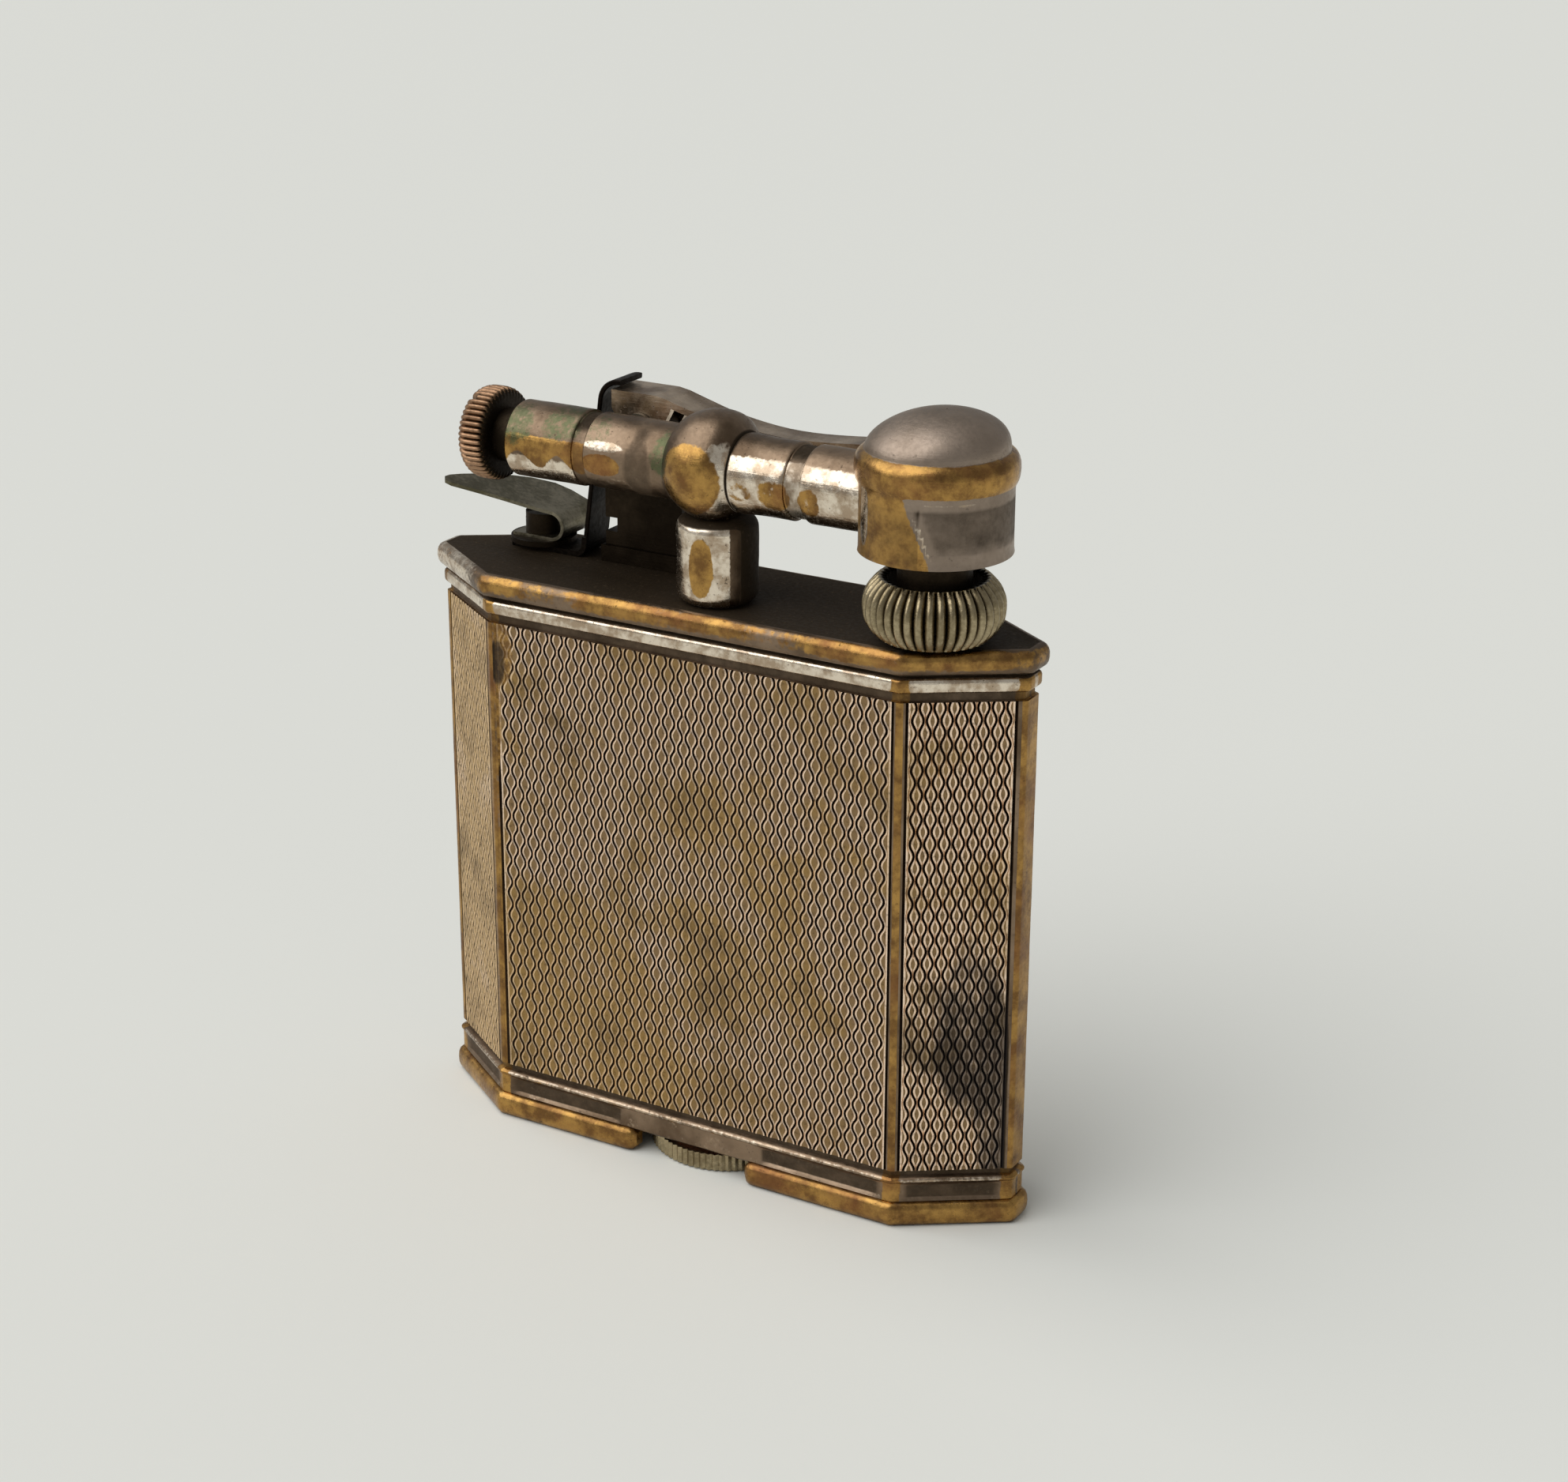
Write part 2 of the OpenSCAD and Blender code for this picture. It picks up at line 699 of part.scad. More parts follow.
module arm_spring_foot() {
  bend_r = 0.75;
  bend_x = blade_x(case_h + leaf_t + bend_r) - bend_r;
  color(black_steel) difference() {
    side_sheet(leaf_front + 0.1, leaf_back) {
      translate([-17.4, case_h]) square([bend_x + 17.4, leaf_t]);
      polygon(arc_band(bend_x, case_h + leaf_t / 2 + bend_r, bend_r, leaf_t, -90, -8, 8));
      blade_straight(case_h + leaf_t / 2 + bend_r - 0.15, blade_split);
    }
    clamp_hole();
  }
}

module detent_spring() {
  loop_z = detent_bottom + detent_t / 2 + loop_r;
  end_a = 90 - leaf_rise;
  top = [loop_x + loop_r * cos(end_a), loop_z + loop_r * sin(end_a)];
  reach = 7.2;
  dirv = [-cos(leaf_rise), sin(leaf_rise)];
  nrm = [sin(leaf_rise), cos(leaf_rise)] * detent_t / 2;
  tip = top + reach * dirv;
  color(nickel) intersection() {
    difference() {
      side_sheet(-4, 6) {
        translate([-17.4, detent_bottom]) square([loop_x + 17.4, detent_t]);
        polygon(arc_band(loop_x, loop_z, loop_r, detent_t, -90, end_a, 16));
        polygon([top - nrm, top + nrm, tip + nrm, tip - nrm]);
      }
      translate([clamp_x, clamp_y, 30]) cylinder(r = 0.75, h = detent_bottom + detent_t + 0.2 - 30);
    }
    union() {
      translate([-18, 1.0, 30]) cube([6, 3.3, detent_bottom + 0.5 - 30]);
      translate([0, 0, detent_bottom + 0.5]) linear_extrude(6) polygon([[-12, 1.0], [-12, 4.9],
        [-15.3, 4.9], [-16.4, 4.6], [-17.6, 3.6], [-18.4, 2.55], [-19.1, 1.4], [-19.7, 0.3],
        [-20.2, -0.85], [-20.48, -1.7], [-20.5, -2.2], [-20.25, -2.55], [-19.8, -2.5],
        [-18.3, -1.5], [-16.8, -0.6], [-15.4, 0.2], [-14.2, 1.0]]);
    }
  }
}

module spring_washer() {
  color(dark_silver) translate([clamp_x, clamp_y, case_h + leaf_t]) difference() {
    cylinder(r = 2.2, h = washer_t);
    translate([0, 0, -1]) cylinder(r = 0.75, h = 3);
  }
}

module spring_screw() {
  head_h = 1.4;
  shank = 3.8;
  color(dark_silver) translate([clamp_x, clamp_y, detent_bottom + detent_t]) difference() {
    union() {
      cylinder(r = 1.2, h = head_h);
      translate([0, 0, -shank]) cylinder(r = 0.7, h = shank + 0.1);
    }
    rotate([0, 0, 35]) translate([-2, -0.2, head_h - 0.45]) cube([4, 0.4, 1]);
  }
}

body_shell();
top_plate();
base_plate();
fuel_tank();
cotton_wadding();
filler_bush();
filler_washer();
filler_screw();
burner_tube();
burner_bush();
wick();
thumb_wheel();
flint_wheel();
wheel_collar();
flint_tube_left();
ball_joint();
flint_tube_right();
tube_post();
post_nut();
flint();
flint_plunger();
flint_spring();
flint_screw();
arm_bracket();
arm_pin();
lift_arm();
snuffer_cap();
cap_rivet_a();
cap_rivet_b();
arm_spring_foot();
arm_spring_blade();
detent_spring();
spring_washer();
spring_screw();
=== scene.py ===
"""Looks of the lift-arm pocket lighter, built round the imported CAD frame. Lengths here are in mm."""
import json
import math
import bpy
import bmesh
import numpy as np
from mathutils import Matrix, Vector


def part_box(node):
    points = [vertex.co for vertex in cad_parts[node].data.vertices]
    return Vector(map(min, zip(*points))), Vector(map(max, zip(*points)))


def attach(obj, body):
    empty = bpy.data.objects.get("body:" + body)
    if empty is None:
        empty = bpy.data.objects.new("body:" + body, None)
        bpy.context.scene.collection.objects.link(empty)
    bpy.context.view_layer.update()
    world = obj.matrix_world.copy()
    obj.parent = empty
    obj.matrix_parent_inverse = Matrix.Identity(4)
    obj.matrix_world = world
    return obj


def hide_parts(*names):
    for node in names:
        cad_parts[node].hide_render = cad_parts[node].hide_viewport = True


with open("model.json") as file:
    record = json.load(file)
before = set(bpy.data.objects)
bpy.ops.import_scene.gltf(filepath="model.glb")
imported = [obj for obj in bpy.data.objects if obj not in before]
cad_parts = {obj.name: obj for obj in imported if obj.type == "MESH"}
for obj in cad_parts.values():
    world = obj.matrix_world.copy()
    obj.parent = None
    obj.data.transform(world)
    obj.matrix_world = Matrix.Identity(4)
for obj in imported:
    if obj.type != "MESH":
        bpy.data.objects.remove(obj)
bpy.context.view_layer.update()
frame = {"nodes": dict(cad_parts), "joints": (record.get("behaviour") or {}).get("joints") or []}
MM = 0.001


def node_box(node):
    """Lowest and highest corner of a CAD node, in mm."""
    low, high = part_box(node)
    return np.array(low) * 1000, np.array(high) * 1000


def joint_place(name):
    """Point on a joint's axis, in mm."""
    found = [j for j in frame["joints"] if j["name"] == name]
    return np.array(found[0]["pos_m"]) * 1000


# ---- driving places, read from the frame ----
SHELL_HIGH = node_box("body_shell")[1]
PLATE_LOW, PLATE_HIGH = node_box("top_plate")
PLATE_TOP = PLATE_HIGH[2]
WICK_LOW, WICK_HIGH = node_box("wick")
BURNER = (WICK_LOW + WICK_HIGH)[:2] / 2
KNOB_LOW, KNOB_HIGH = node_box("flint_screw")
TUBE_Y, TUBE_Z = ((KNOB_LOW + KNOB_HIGH) / 2)[1:]
POST_LOW, POST_HIGH = node_box("tube_post")
BALL_X = (POST_LOW + POST_HIGH)[0] / 2
HINGE = joint_place("arm_lift")
WHEEL_LOW, WHEEL_HIGH = node_box("thumb_wheel")
CAP_LOW, CAP_HIGH = node_box("snuffer_cap")
LEFT_TUBE = [b[0] for b in node_box("flint_tube_left")]
RIGHT_TUBE = [b[0] for b in node_box("flint_tube_right")]

# Case outline: half sizes of the panels' plan
BAND_OUT = 0.17
HALF_WIDTH = SHELL_HIGH[0] - BAND_OUT
HALF_DEPTH = SHELL_HIGH[1] - BAND_OUT
FRONT_HALF = 15.2
END_HALF = 0.8
CORNER_ROUND = 0.3
PANEL_LOW = 3.9
PANEL_HIGH = 35.85


# ---- meshes ----

def add_object(name, data):
    obj = bpy.data.objects.new(name, data)
    bpy.context.scene.collection.objects.link(obj)
    return obj


def build(name, points, faces, materials, slots=None, sharp=35.0):
    """A mesh object from points in mm, smooth but for edges sharper than the given angle."""
    mesh = bpy.data.meshes.new(name)
    mesh.from_pydata((np.asarray(points, float) * MM).tolist(), [], faces)
    obj = add_object(name, mesh)
    for material in materials:
        mesh.materials.append(material)
    if slots is not None:
        mesh.polygons.foreach_set("material_index", np.asarray(slots, np.int32))
    work = bmesh.new()
    work.from_mesh(mesh)
    bmesh.ops.recalc_face_normals(work, faces=work.faces)
    limit = math.radians(sharp)
    for edge in work.edges:
        if len(edge.link_faces) == 2 and edge.calc_face_angle() > limit:
            edge.smooth = False
    for face in work.faces:
        face.smooth = True
    work.to_mesh(mesh)
    work.free()
    return obj


def quads(rows, columns, close_rows=False, close_columns=False):
    """Quads joining a grid of points numbered row by row."""
    faces = []
    for i in range(rows if close_rows else rows - 1):
        for k in range(columns if close_columns else columns - 1):
            a, b = i * columns, (i + 1) % rows * columns
            m = (k + 1) % columns
            faces.append((a + k, a + m, b + m, b + k))
    return faces


def end_faces(size, total):
    """The first and last rings of a swept section, as faces."""
    return [tuple(range(size)), tuple(range(total - size, total))]


def close_mesh(work, obj):
    """Fills what is open in a bmesh and writes it back to its object."""
    bmesh.ops.holes_fill(work, edges=[e for e in work.edges if len(e.link_faces) < 2], sides=0)
    bmesh.ops.recalc_face_normals(work, faces=work.faces)
    work.to_mesh(obj.data)
    work.free()


def read_points(mesh, key="co"):
    """A mesh's points or normals, in metres."""
    values = np.zeros(len(mesh.vertices) * 3, np.float32)
    mesh.vertices.foreach_get(key, values)
    return values.reshape(-1, 3)


def paint(obj, **rules):
    """Writes masks from 0 to 1 per point. A rule is a number, or a function of arrays x, y, z in mm."""
    x, y, z = read_points(obj.data).T * 1000
    for name, rule in rules.items():
        value = rule(x, y, z) if callable(rule) else rule
        layer = obj.data.attributes.new(name, "FLOAT", "POINT")
        layer.data.foreach_set("value", np.clip(value * np.ones(len(x)), 0, 1).astype(np.float32))


def smooth(t):
    t = np.clip(t, 0, 1)
    return t * t * (3 - 2 * t)


def spot(x, y, cx, cy, rx, ry):
    """1 inside an ellipse, falling to 0 round its edge."""
    return smooth(1.5 - ((x - cx) / rx) ** 2 - ((y - cy) / ry) ** 2)


def marks(x, y, *places):
    """Several spots, each an amount, a centre and two half sizes."""
    return sum(amount * spot(x, y, *place) for amount, *place in places)


def bearing(x, y, centre):
    """Direction of points seen from an upright axis, in degrees."""
    return np.degrees(np.arctan2(y - centre[1], x - centre[0]))


def wobble(x, y, z, size, amount):
    """A small smooth unevenness made of a few slow waves."""
    a = np.sin(x / size * 1.7 + 2.1 * np.sin(z / size)) + np.sin(y / size * 2.3 + 1.3)
    b = np.sin(z / size * 1.9 + 1.1 * np.sin(x / size * 0.7) + 0.4)
    return amount * (a + b) / 3


def finish_piece(obj, body, slot, *nodes):
    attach(obj, body)
    if nodes:
        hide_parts(*nodes)
    return obj


def cut(obj, *cutters):
    """Takes the cutters' shapes out of obj and removes the cutters."""
    for cutter in cutters:
        modifier = obj.modifiers.new("cut", "BOOLEAN")
        modifier.operation = "DIFFERENCE"
        modifier.solver = "EXACT"
        modifier.object = cutter
    graph = bpy.context.evaluated_depsgraph_get()
    mesh = bpy.data.meshes.new_from_object(obj.evaluated_get(graph))
    old = obj.data
    obj.modifiers.clear()
    obj.data = mesh
    mesh.name = old.name + "_cut"
    bpy.data.meshes.remove(old)
    for cutter in cutters:
        bpy.data.objects.remove(cutter)
    return obj


def bar(low, high, turn=None, about=None):
    """A box-shaped cutter between two corners, turned about a point by a 3x3 matrix."""
    p = np.array([[x, y, z] for x in (low[0], high[0]) for y in (low[1], high[1])
                  for z in (low[2], high[2])], float)
    if turn is not None:
        p = (p - about) @ np.asarray(turn).T + about
    faces = [(0, 1, 3, 2), (4, 6, 7, 5), (0, 4, 5, 1), (2, 3, 7, 6), (0, 2, 6, 4), (1, 5, 7, 3)]
    return build("cutter", p, faces, [])


def lathe(name, profile, centre, axis, materials, around=160, shape=None, closed=True, sharp=35.0):
    """Turns (along, radius) points round an axis, "x" or "z", through centre.
    A closed profile is a ring's section; an open one starts and ends on the axis.
    shape(angle, along, radius) may change the radius round the turn."""
    profile = np.asarray(profile, float)
    angles = np.linspace(0, 2 * math.pi, around, endpoint=False)
    inner = profile if closed else profile[1:-1]
    along = np.repeat(inner[:, 0], around)
    radius = np.repeat(inner[:, 1], around)
    angle = np.tile(angles, len(inner))
    if shape is not None:
        radius = shape(angle, along, radius)
    faces = quads(len(inner), around, close_rows=closed, close_columns=True)
    if not closed:
        tips = [profile[0], profile[-1]]
        along = np.append(along, [t[0] for t in tips])
        radius = np.append(radius, [0, 0])
        angle = np.append(angle, [0, 0])
        first, last = len(inner) * around, len(inner) * around + 1
        end = (len(inner) - 1) * around
        for k in range(around):
            m = (k + 1) % around
            faces.append((first, m, k))
            faces.append((last, end + k, end + m))
    c, s = radius * np.cos(angle), radius * np.sin(angle)
    points = np.stack([along, c, s], 1) if axis == "x" else np.stack([c, s, along], 1)
    return build(name, points + np.asarray(centre), faces, materials, sharp=sharp)


def drill(start, end, radius, centre, axis, around):
    """A round cutter along an axis."""
    profile = [(start, 0), (start, radius), (end, radius), (end, 0)]
    return lathe("cutter", profile, centre, axis, [], around, closed=False)


def arc(cx, cy, r, a0, a1, n):
    """Points along an arc, angles in degrees."""
    a = np.radians(np.linspace(a0, a1, n + 1))
    return [(cx + r * c, cy + r * s) for c, s in zip(np.cos(a), np.sin(a))]


def refine(points, step):
    """Adds points so that none of the polyline's stretches is longer than step."""
    out = [points[0]]
    for p, q in zip(points[:-1], points[1:]):
        n = max(1, math.ceil(math.dist(p, q) / step))
        out += [tuple(p[i] + (q[i] - p[i]) * k / n for i in range(len(p))) for k in range(1, n + 1)]
    return out


# ---- the case's plan: stations round it, each a base point and an outward normal ----

def plan_corners():
    """Centres of the plan's eight corner rounds, from front left, anticlockwise."""
    slope = math.atan2(HALF_DEPTH - END_HALF, HALF_WIDTH - FRONT_HALF)
    fx = FRONT_HALF - CORNER_ROUND * math.tan(slope / 2)
    fy = HALF_DEPTH - CORNER_ROUND
    ex = HALF_WIDTH - CORNER_ROUND
    ey = END_HALF - CORNER_ROUND * math.tan(math.pi / 4 - slope / 2)
    return np.array([(-fx, -fy), (fx, -fy), (ex, -ey), (ex, ey), (fx, fy), (-fx, fy), (-ex, ey),
                     (-ex, -ey)])


CORNERS = plan_corners()
FRONT, RIGHT_FRONT, RIGHT_END, RIGHT_BACK, BACK, LEFT_BACK, LEFT_END, LEFT_FRONT = range(8)


def face_frame(edge):
    """Start, direction, outward normal and length of one plan face."""
    a, b = CORNERS[edge], CORNERS[(edge + 1) % 8]
    along = (b - a) / np.linalg.norm(b - a)
    return a, along, np.array([along[1], -along[0]]), np.linalg.norm(b - a)


def corner_stations(corner, n=5):
    """Stations round a corner: base, normal, distance from the corner (0), face before it."""
    before = face_frame((corner - 1) % 8)[2]
    after = face_frame(corner)[2]
    a0 = math.atan2(before[1], before[0])
    turn = (math.atan2(after[1], after[0]) - a0) % (2 * math.pi)
    return [(CORNERS[corner], np.array([math.cos(a0 + turn * k / n), math.sin(a0 + turn * k / n)]), 0.0)
            for k in range(n + 1)]


def face_stations(edge, start=None, stop=None, step=0.4):
    """Stations along a plan face between two distances from its start."""
    a, along, normal, length = face_frame(edge)
    start = 0.0 if start is None else start
    stop = length if stop is None else stop
    n = max(2, round((stop - start) / step))
    return [(a + along * u, normal, min(u, length - u)) for u in np.linspace(start, stop, n + 1)]


def ring_stations(step=0.4):
    """Stations all the way round the case."""
    out = []
    for k in range(8):
        out += corner_stations(k)
        out += face_stations(k, step=step)[1:-1]
    return out


def at(station, out, z):
    """The point at a station, standing out from the panels by out, at level z."""
    base, normal, _ = station
    p = base + normal * (CORNER_ROUND + out)
    return (p[0], p[1], z)


def sweep(name, stations, section, materials, loop=True, caps=False, sharp=35.0):
    """Sweeps a section of (level, out) points along stations. out may be a function of a station."""
    points = []
    for station in stations:
        for z, out in section:
            points.append(at(station, out(station) if callable(out) else out, z))
    faces = quads(len(stations), len(section), close_rows=loop, close_columns=True)
    if caps:
        faces += end_faces(len(section), len(points))
    return build(name, points, faces, materials, sharp=sharp)


# ---- materials ----

class Metal:
    """A node material, built from layers broken up by noise."""

    def __init__(self, name, metallic=1.0):
        self.material = bpy.data.materials.new(name)
        self.material.use_nodes = True
        self.tree = self.material.node_tree
        self.tree.nodes.clear()
        self.bsdf = self.node("BsdfPrincipled")
        out = self.node("OutputMaterial")
        self.tree.links.new(self.bsdf.outputs[0], out.inputs[0])
        self.where = self.node("TexCoord").outputs["Object"]
        self.bsdf.inputs["Metallic"].default_value = metallic

    def node(self, kind, inputs=None):
        made = self.tree.nodes.new("ShaderNode" + kind)
        for socket, value in (inputs or {}).items():
            self.feed(made.inputs[socket], value)
        return made

    def feed(self, socket, value):
        if isinstance(value, bpy.types.NodeSocket):
            self.tree.links.new(value, socket)
        elif isinstance(value, (tuple, list)) and len(value) == 3 and socket.type == "RGBA":
            socket.default_value = (*value, 1.0)
        else:
            socket.default_value = value

    def noise(self, size, detail=4.0, rough=0.55, stretch=(1, 1, 1), seed=0.0):
        """Noise with features of the given size in mm, longer along an axis stretched above 1."""
        scale = [1000 / size / s for s in stretch]
        place = (seed * 3.1, seed * 1.7, seed * 2.3)
        mapping = self.node("Mapping", {"Vector": self.where, "Scale": scale, "Location": place})
        noise = self.node("TexNoise", {"Vector": mapping.outputs[0], "Scale": 1.0,
                                                 "Detail": detail, "Roughness": rough})
        return noise.outputs["Fac"]

    def mask(self, name):
        attribute = self.node("Attribute")
        attribute.attribute_name = name
        return attribute.outputs["Fac"]

    def calc(self, operation, a, b=0.0):
        node = self.node("Math")
        node.operation = operation
        self.feed(node.inputs[0], a)
        self.feed(node.inputs[1], b)
        return node.outputs[0]

    def step(self, value, low, high, to_low=0.0, to_high=1.0):
        node = self.node("MapRange", {"Value": value, "From Min": low, "From Max": high,
                                                "To Min": to_low, "To Max": to_high})
        node.interpolation_type = "SMOOTHSTEP"
        return node.outputs[0]

    def mix(self, amount, a, b):
        """Colours when a or b is a colour, numbers otherwise."""
        node = self.node("Mix")
        kind = "FLOAT" if isinstance(a, float) or getattr(a, "type", "") == "VALUE" else "RGBA"
        node.data_type = kind
        first, second = (2, 3) if kind == "FLOAT" else (6, 7)
        self.feed(node.inputs[0], amount)
        self.feed(node.inputs[first], a)
        self.feed(node.inputs[second], b)
        return node.outputs[0 if kind == "FLOAT" else 2]

    def broken(self, mask, noise, softness=0.12, reach=0.7):
        """A mask whose edge is frayed by noise."""
        shift = self.calc("MULTIPLY", self.calc("SUBTRACT", noise, 0.5), reach)
        return self.step(self.calc("ADD", mask, shift), 0.5 - softness, 0.5 + softness)

    def finish(self, colour, rough, height=None, depth=0.01, metallic=None):
        """Joins the layers up. depth is the bump's height in mm."""
        self.feed(self.bsdf.inputs["Base Color"], colour)
        self.feed(self.bsdf.inputs["Roughness"], rough)
        if metallic is not None:
            self.feed(self.bsdf.inputs["Metallic"], metallic)
        if height is not None:
            bump = self.node("Bump", {"Distance": depth * MM, "Strength": 1.0, "Height": height})
            self.feed(self.bsdf.inputs["Normal"], bump.outputs[0])
        return self.material


SILVER = (0.80, 0.70, 0.57)
SILVER_WARM = (0.42, 0.32, 0.225)
BRASS = (0.47, 0.27, 0.078)
BRASS_DARK = (0.19, 0.098, 0.034)
TARNISH = (0.12, 0.080, 0.050)
TARNISH_PALE = (0.28, 0.20, 0.135)
# Near-black brown, laid on dirt and on painted shade.
GRIME_AND_SHADE_DARK = (0.030, 0.019, 0.009)
VERDIGRIS = (0.085, 0.105, 0.05)


def aged_plate(name, base=TARNISH, base_pale=TARNISH_PALE, rough=0.38, pits=0.5):
    """Tarnished plate. Masks: silver (bright plate), wear (brass), grime (dirt and painted shade),
    green.
    """
    m = Metal(name)
    slow = m.noise(5.0, 5, 0.6)
    mid = m.noise(1.1, 5, 0.62, seed=2)
    fine = m.noise(0.28, 4, 0.6, seed=4)
    scratch = m.noise(0.5, 3, 0.7, stretch=(7, 7, 0.35), seed=5)
    colour = m.mix(m.step(slow, 0.35, 0.65), base, base_pale)
    bright = m.mix(m.step(mid, 0.38, 0.62), SILVER, SILVER_WARM)
    frayed = m.mix(0.45, mid, fine)
    silver = m.broken(m.mask("silver"), frayed, 0.10, 1.1)
    colour = m.mix(silver, colour, bright)
    brass = m.mix(m.step(m.noise(1.6, 6, 0.68, seed=7), 0.36, 0.66), BRASS, BRASS_DARK)
    brass = m.mix(m.step(slow, 0.48, 0.66, 0.0, 0.55), brass, (0.24, 0.10, 0.042))
    wear = m.broken(m.mask("wear"), m.mix(0.5, mid, m.noise(0.4, 4, 0.6, seed=8)), 0.10, 1.1)
    colour = m.mix(wear, colour, brass)
    green = m.broken(m.mask("green"), m.noise(0.45, 5, 0.75, seed=9), 0.2, 1.6)
    colour = m.mix(m.calc("MULTIPLY", green, 0.8), colour, VERDIGRIS)
    pit = m.step(m.noise(0.3, 4, 0.7, seed=11), 0.62, 0.70)
    pit = m.calc("MULTIPLY", pit, pits)
    # Darkens where the mask holds dirt and painted shade, and in pits.
    dirt_and_shade = m.broken(m.mask("grime"), m.mix(0.5, slow, mid), 0.25, 0.6)
    dirt_and_shade = m.calc("MAXIMUM", dirt_and_shade, pit)
    dusty = m.step(m.noise(0.35, 5, 0.8, seed=13), 0.56, 0.72, 0.0, 0.5)
    colour = m.mix(dirt_and_shade, colour, m.mix(dusty, GRIME_AND_SHADE_DARK, (0.16, 0.11, 0.065)))
    gloss = m.mix(silver, rough, 0.2)
    gloss = m.mix(wear, gloss, 0.3)
    gloss = m.mix(dirt_and_shade, gloss, 0.75)
    gloss = m.calc("ADD", gloss, m.step(fine, 0.3, 0.7, -0.06, 0.08))
    height = m.mix(0.35, m.mix(0.5, fine, scratch), mid)
    height = m.calc("SUBTRACT", height, m.calc("MULTIPLY", pit, 0.4))
    metal = m.calc("SUBTRACT", 1.0, m.calc("MULTIPLY", dirt_and_shade, 0.55))
    m.bsdf.inputs["Specular IOR Level"].default_value = 0.25
    return m.finish(colour, gloss, height, 0.035, metal)


def plain_metal(name, base, other, rough, depth=0.02, stretch=(1, 1, 1), metallic=1.0, size=0.8):
    """One worn metal whose colour wanders between two tones. Mask: gap (dark hollows)."""
    m = Metal(name)
    slow = m.noise(size * 4, 5, 0.6)
    fine = m.noise(size * 0.35, 4, 0.65, stretch=stretch, seed=3)
    colour = m.mix(m.step(m.mix(0.4, slow, fine), 0.38, 0.62), base, other)
    colour = m.mix(m.mask("gap"), colour, GRIME_AND_SHADE_DARK)
    gloss = m.step(fine, 0.3, 0.7, rough - 0.08, rough + 0.1)
    return m.finish(colour, gloss, fine, depth, metallic)


# Colours of the engine turning: cut lines, raised walls and the flat cores between them
CUT_DARK = (0.016, 0.009, 0.005)
CUT_BROWN = (0.05, 0.03, 0.016)
WALL_PALE = (0.98, 0.76, 0.58)
WALL_BRASS = (0.74, 0.52, 0.28)
CORE_OLIVE = (0.27, 0.175, 0.088)
CORE_BRASS = (0.36, 0.225, 0.080)


def panel_layers(m):
    """How the panels' tone drifts: 1 brassy, and 1 dark with soot."""
    drift = m.step(m.noise(6.0, 5, 0.6, seed=1), 0.36, 0.64)
    streak = m.mix(0.5, drift, m.noise(1.0, 5, 0.65, stretch=(1, 1, 3), seed=6))
    return m.broken(m.mask("wear"), drift, 0.35, 0.9), m.broken(m.mask("grime"), streak, 0.4, 1.3)


def panel_metal(name, pale, brassy, rough, depth=0.01):
    m = Metal(name)
    fine = m.noise(0.3, 4, 0.6, seed=3)
    wear, soot = panel_layers(m)
    colour = m.mix(m.calc("MULTIPLY", wear, 0.8), pale, brassy)
    colour = m.mix(m.step(fine, 0.5, 0.75, 0.0, 0.6), colour, CUT_BROWN)
    rubbed = m.broken(m.mask("rubbed"), m.noise(0.8, 5, 0.7, seed=8), 0.2, 0.9)
    patina = m.mix(m.step(m.noise(0.5, 5, 0.7, seed=5), 0.4, 0.62), BRASS_DARK, BRASS)
    colour = m.mix(m.calc("MULTIPLY", rubbed, 0.8), colour, patina)
    colour = m.mix(m.calc("MULTIPLY", soot, 0.8), colour, (0.028, 0.024, 0.024))
    gloss = m.mix(soot, m.step(fine, 0.3, 0.7, rough - 0.05, rough + 0.1), 0.5)
    return m.finish(colour, gloss, fine, depth)


# Two colours, roughness, and where needed bump, stretch, metallic and size, for plain_metal
PLAIN_METALS = {
    "nickel": ("pale_nickel", (0.42, 0.345, 0.215), (0.24, 0.19, 0.11), 0.32),
    "copper": ("copper_brown", (0.36, 0.215, 0.125), (0.17, 0.098, 0.058), 0.36),
    "leaf": ("grey_leaf", (0.10, 0.088, 0.052), (0.27, 0.24, 0.175), 0.36),
    "black": ("black_steel", (0.008, 0.006, 0.005), (0.022, 0.016, 0.012), 0.5),
    "steel": ("plain_steel", (0.30, 0.29, 0.26), (0.18, 0.17, 0.15), 0.35),
    "brass": ("plain_brass", (0.42, 0.28, 0.09), (0.28, 0.18, 0.06), 0.35),
    "cotton": ("cotton", (0.72, 0.68, 0.58), (0.55, 0.50, 0.41), 0.9, 0.2, (1, 1, 4),
               0.0, 0.3),
    "fibre": ("red_fibre", (0.25, 0.07, 0.04), (0.18, 0.05, 0.03), 0.7, 0.05, (1, 1, 1), 0.0),
    "flint": ("flint_grey", (0.20, 0.19, 0.18), (0.12, 0.11, 0.10), 0.6),
}


def make_materials():
    return {
        "plate": aged_plate("aged_plate"),
        "cut": panel_metal("cut_lines", CUT_DARK, CUT_BROWN, 0.6),
        "wall": panel_metal("raised_walls", WALL_PALE, WALL_BRASS, 0.3),
        "core": panel_metal("lozenge_cores", CORE_OLIVE, CORE_BRASS, 0.42),
        "matt_plate": aged_plate("matt_plate", (0.25, 0.195, 0.150), (0.34, 0.27, 0.215), 0.45, 0.3),
        "arm_plate": aged_plate("arm_plate", (0.20, 0.135, 0.085), (0.62, 0.50, 0.38), 0.36, 0.7),
        # Near-black plate: soot, and painted shade on parts that lie in the dark.
        "soot_and_shade": aged_plate("soot_and_shade_plate", (0.02, 0.014, 0.009), (0.045, 0.032, 0.02), 0.55, 0.6),
        **{key: plain_metal(*values) for key, values in PLAIN_METALS.items()},
    }


MATERIALS = make_materials()
PLATE = [MATERIALS["plate"]]


# ---- the case ----

BASE_RIM_TOP = 1.65
CUTOUT_HALF = 4.25
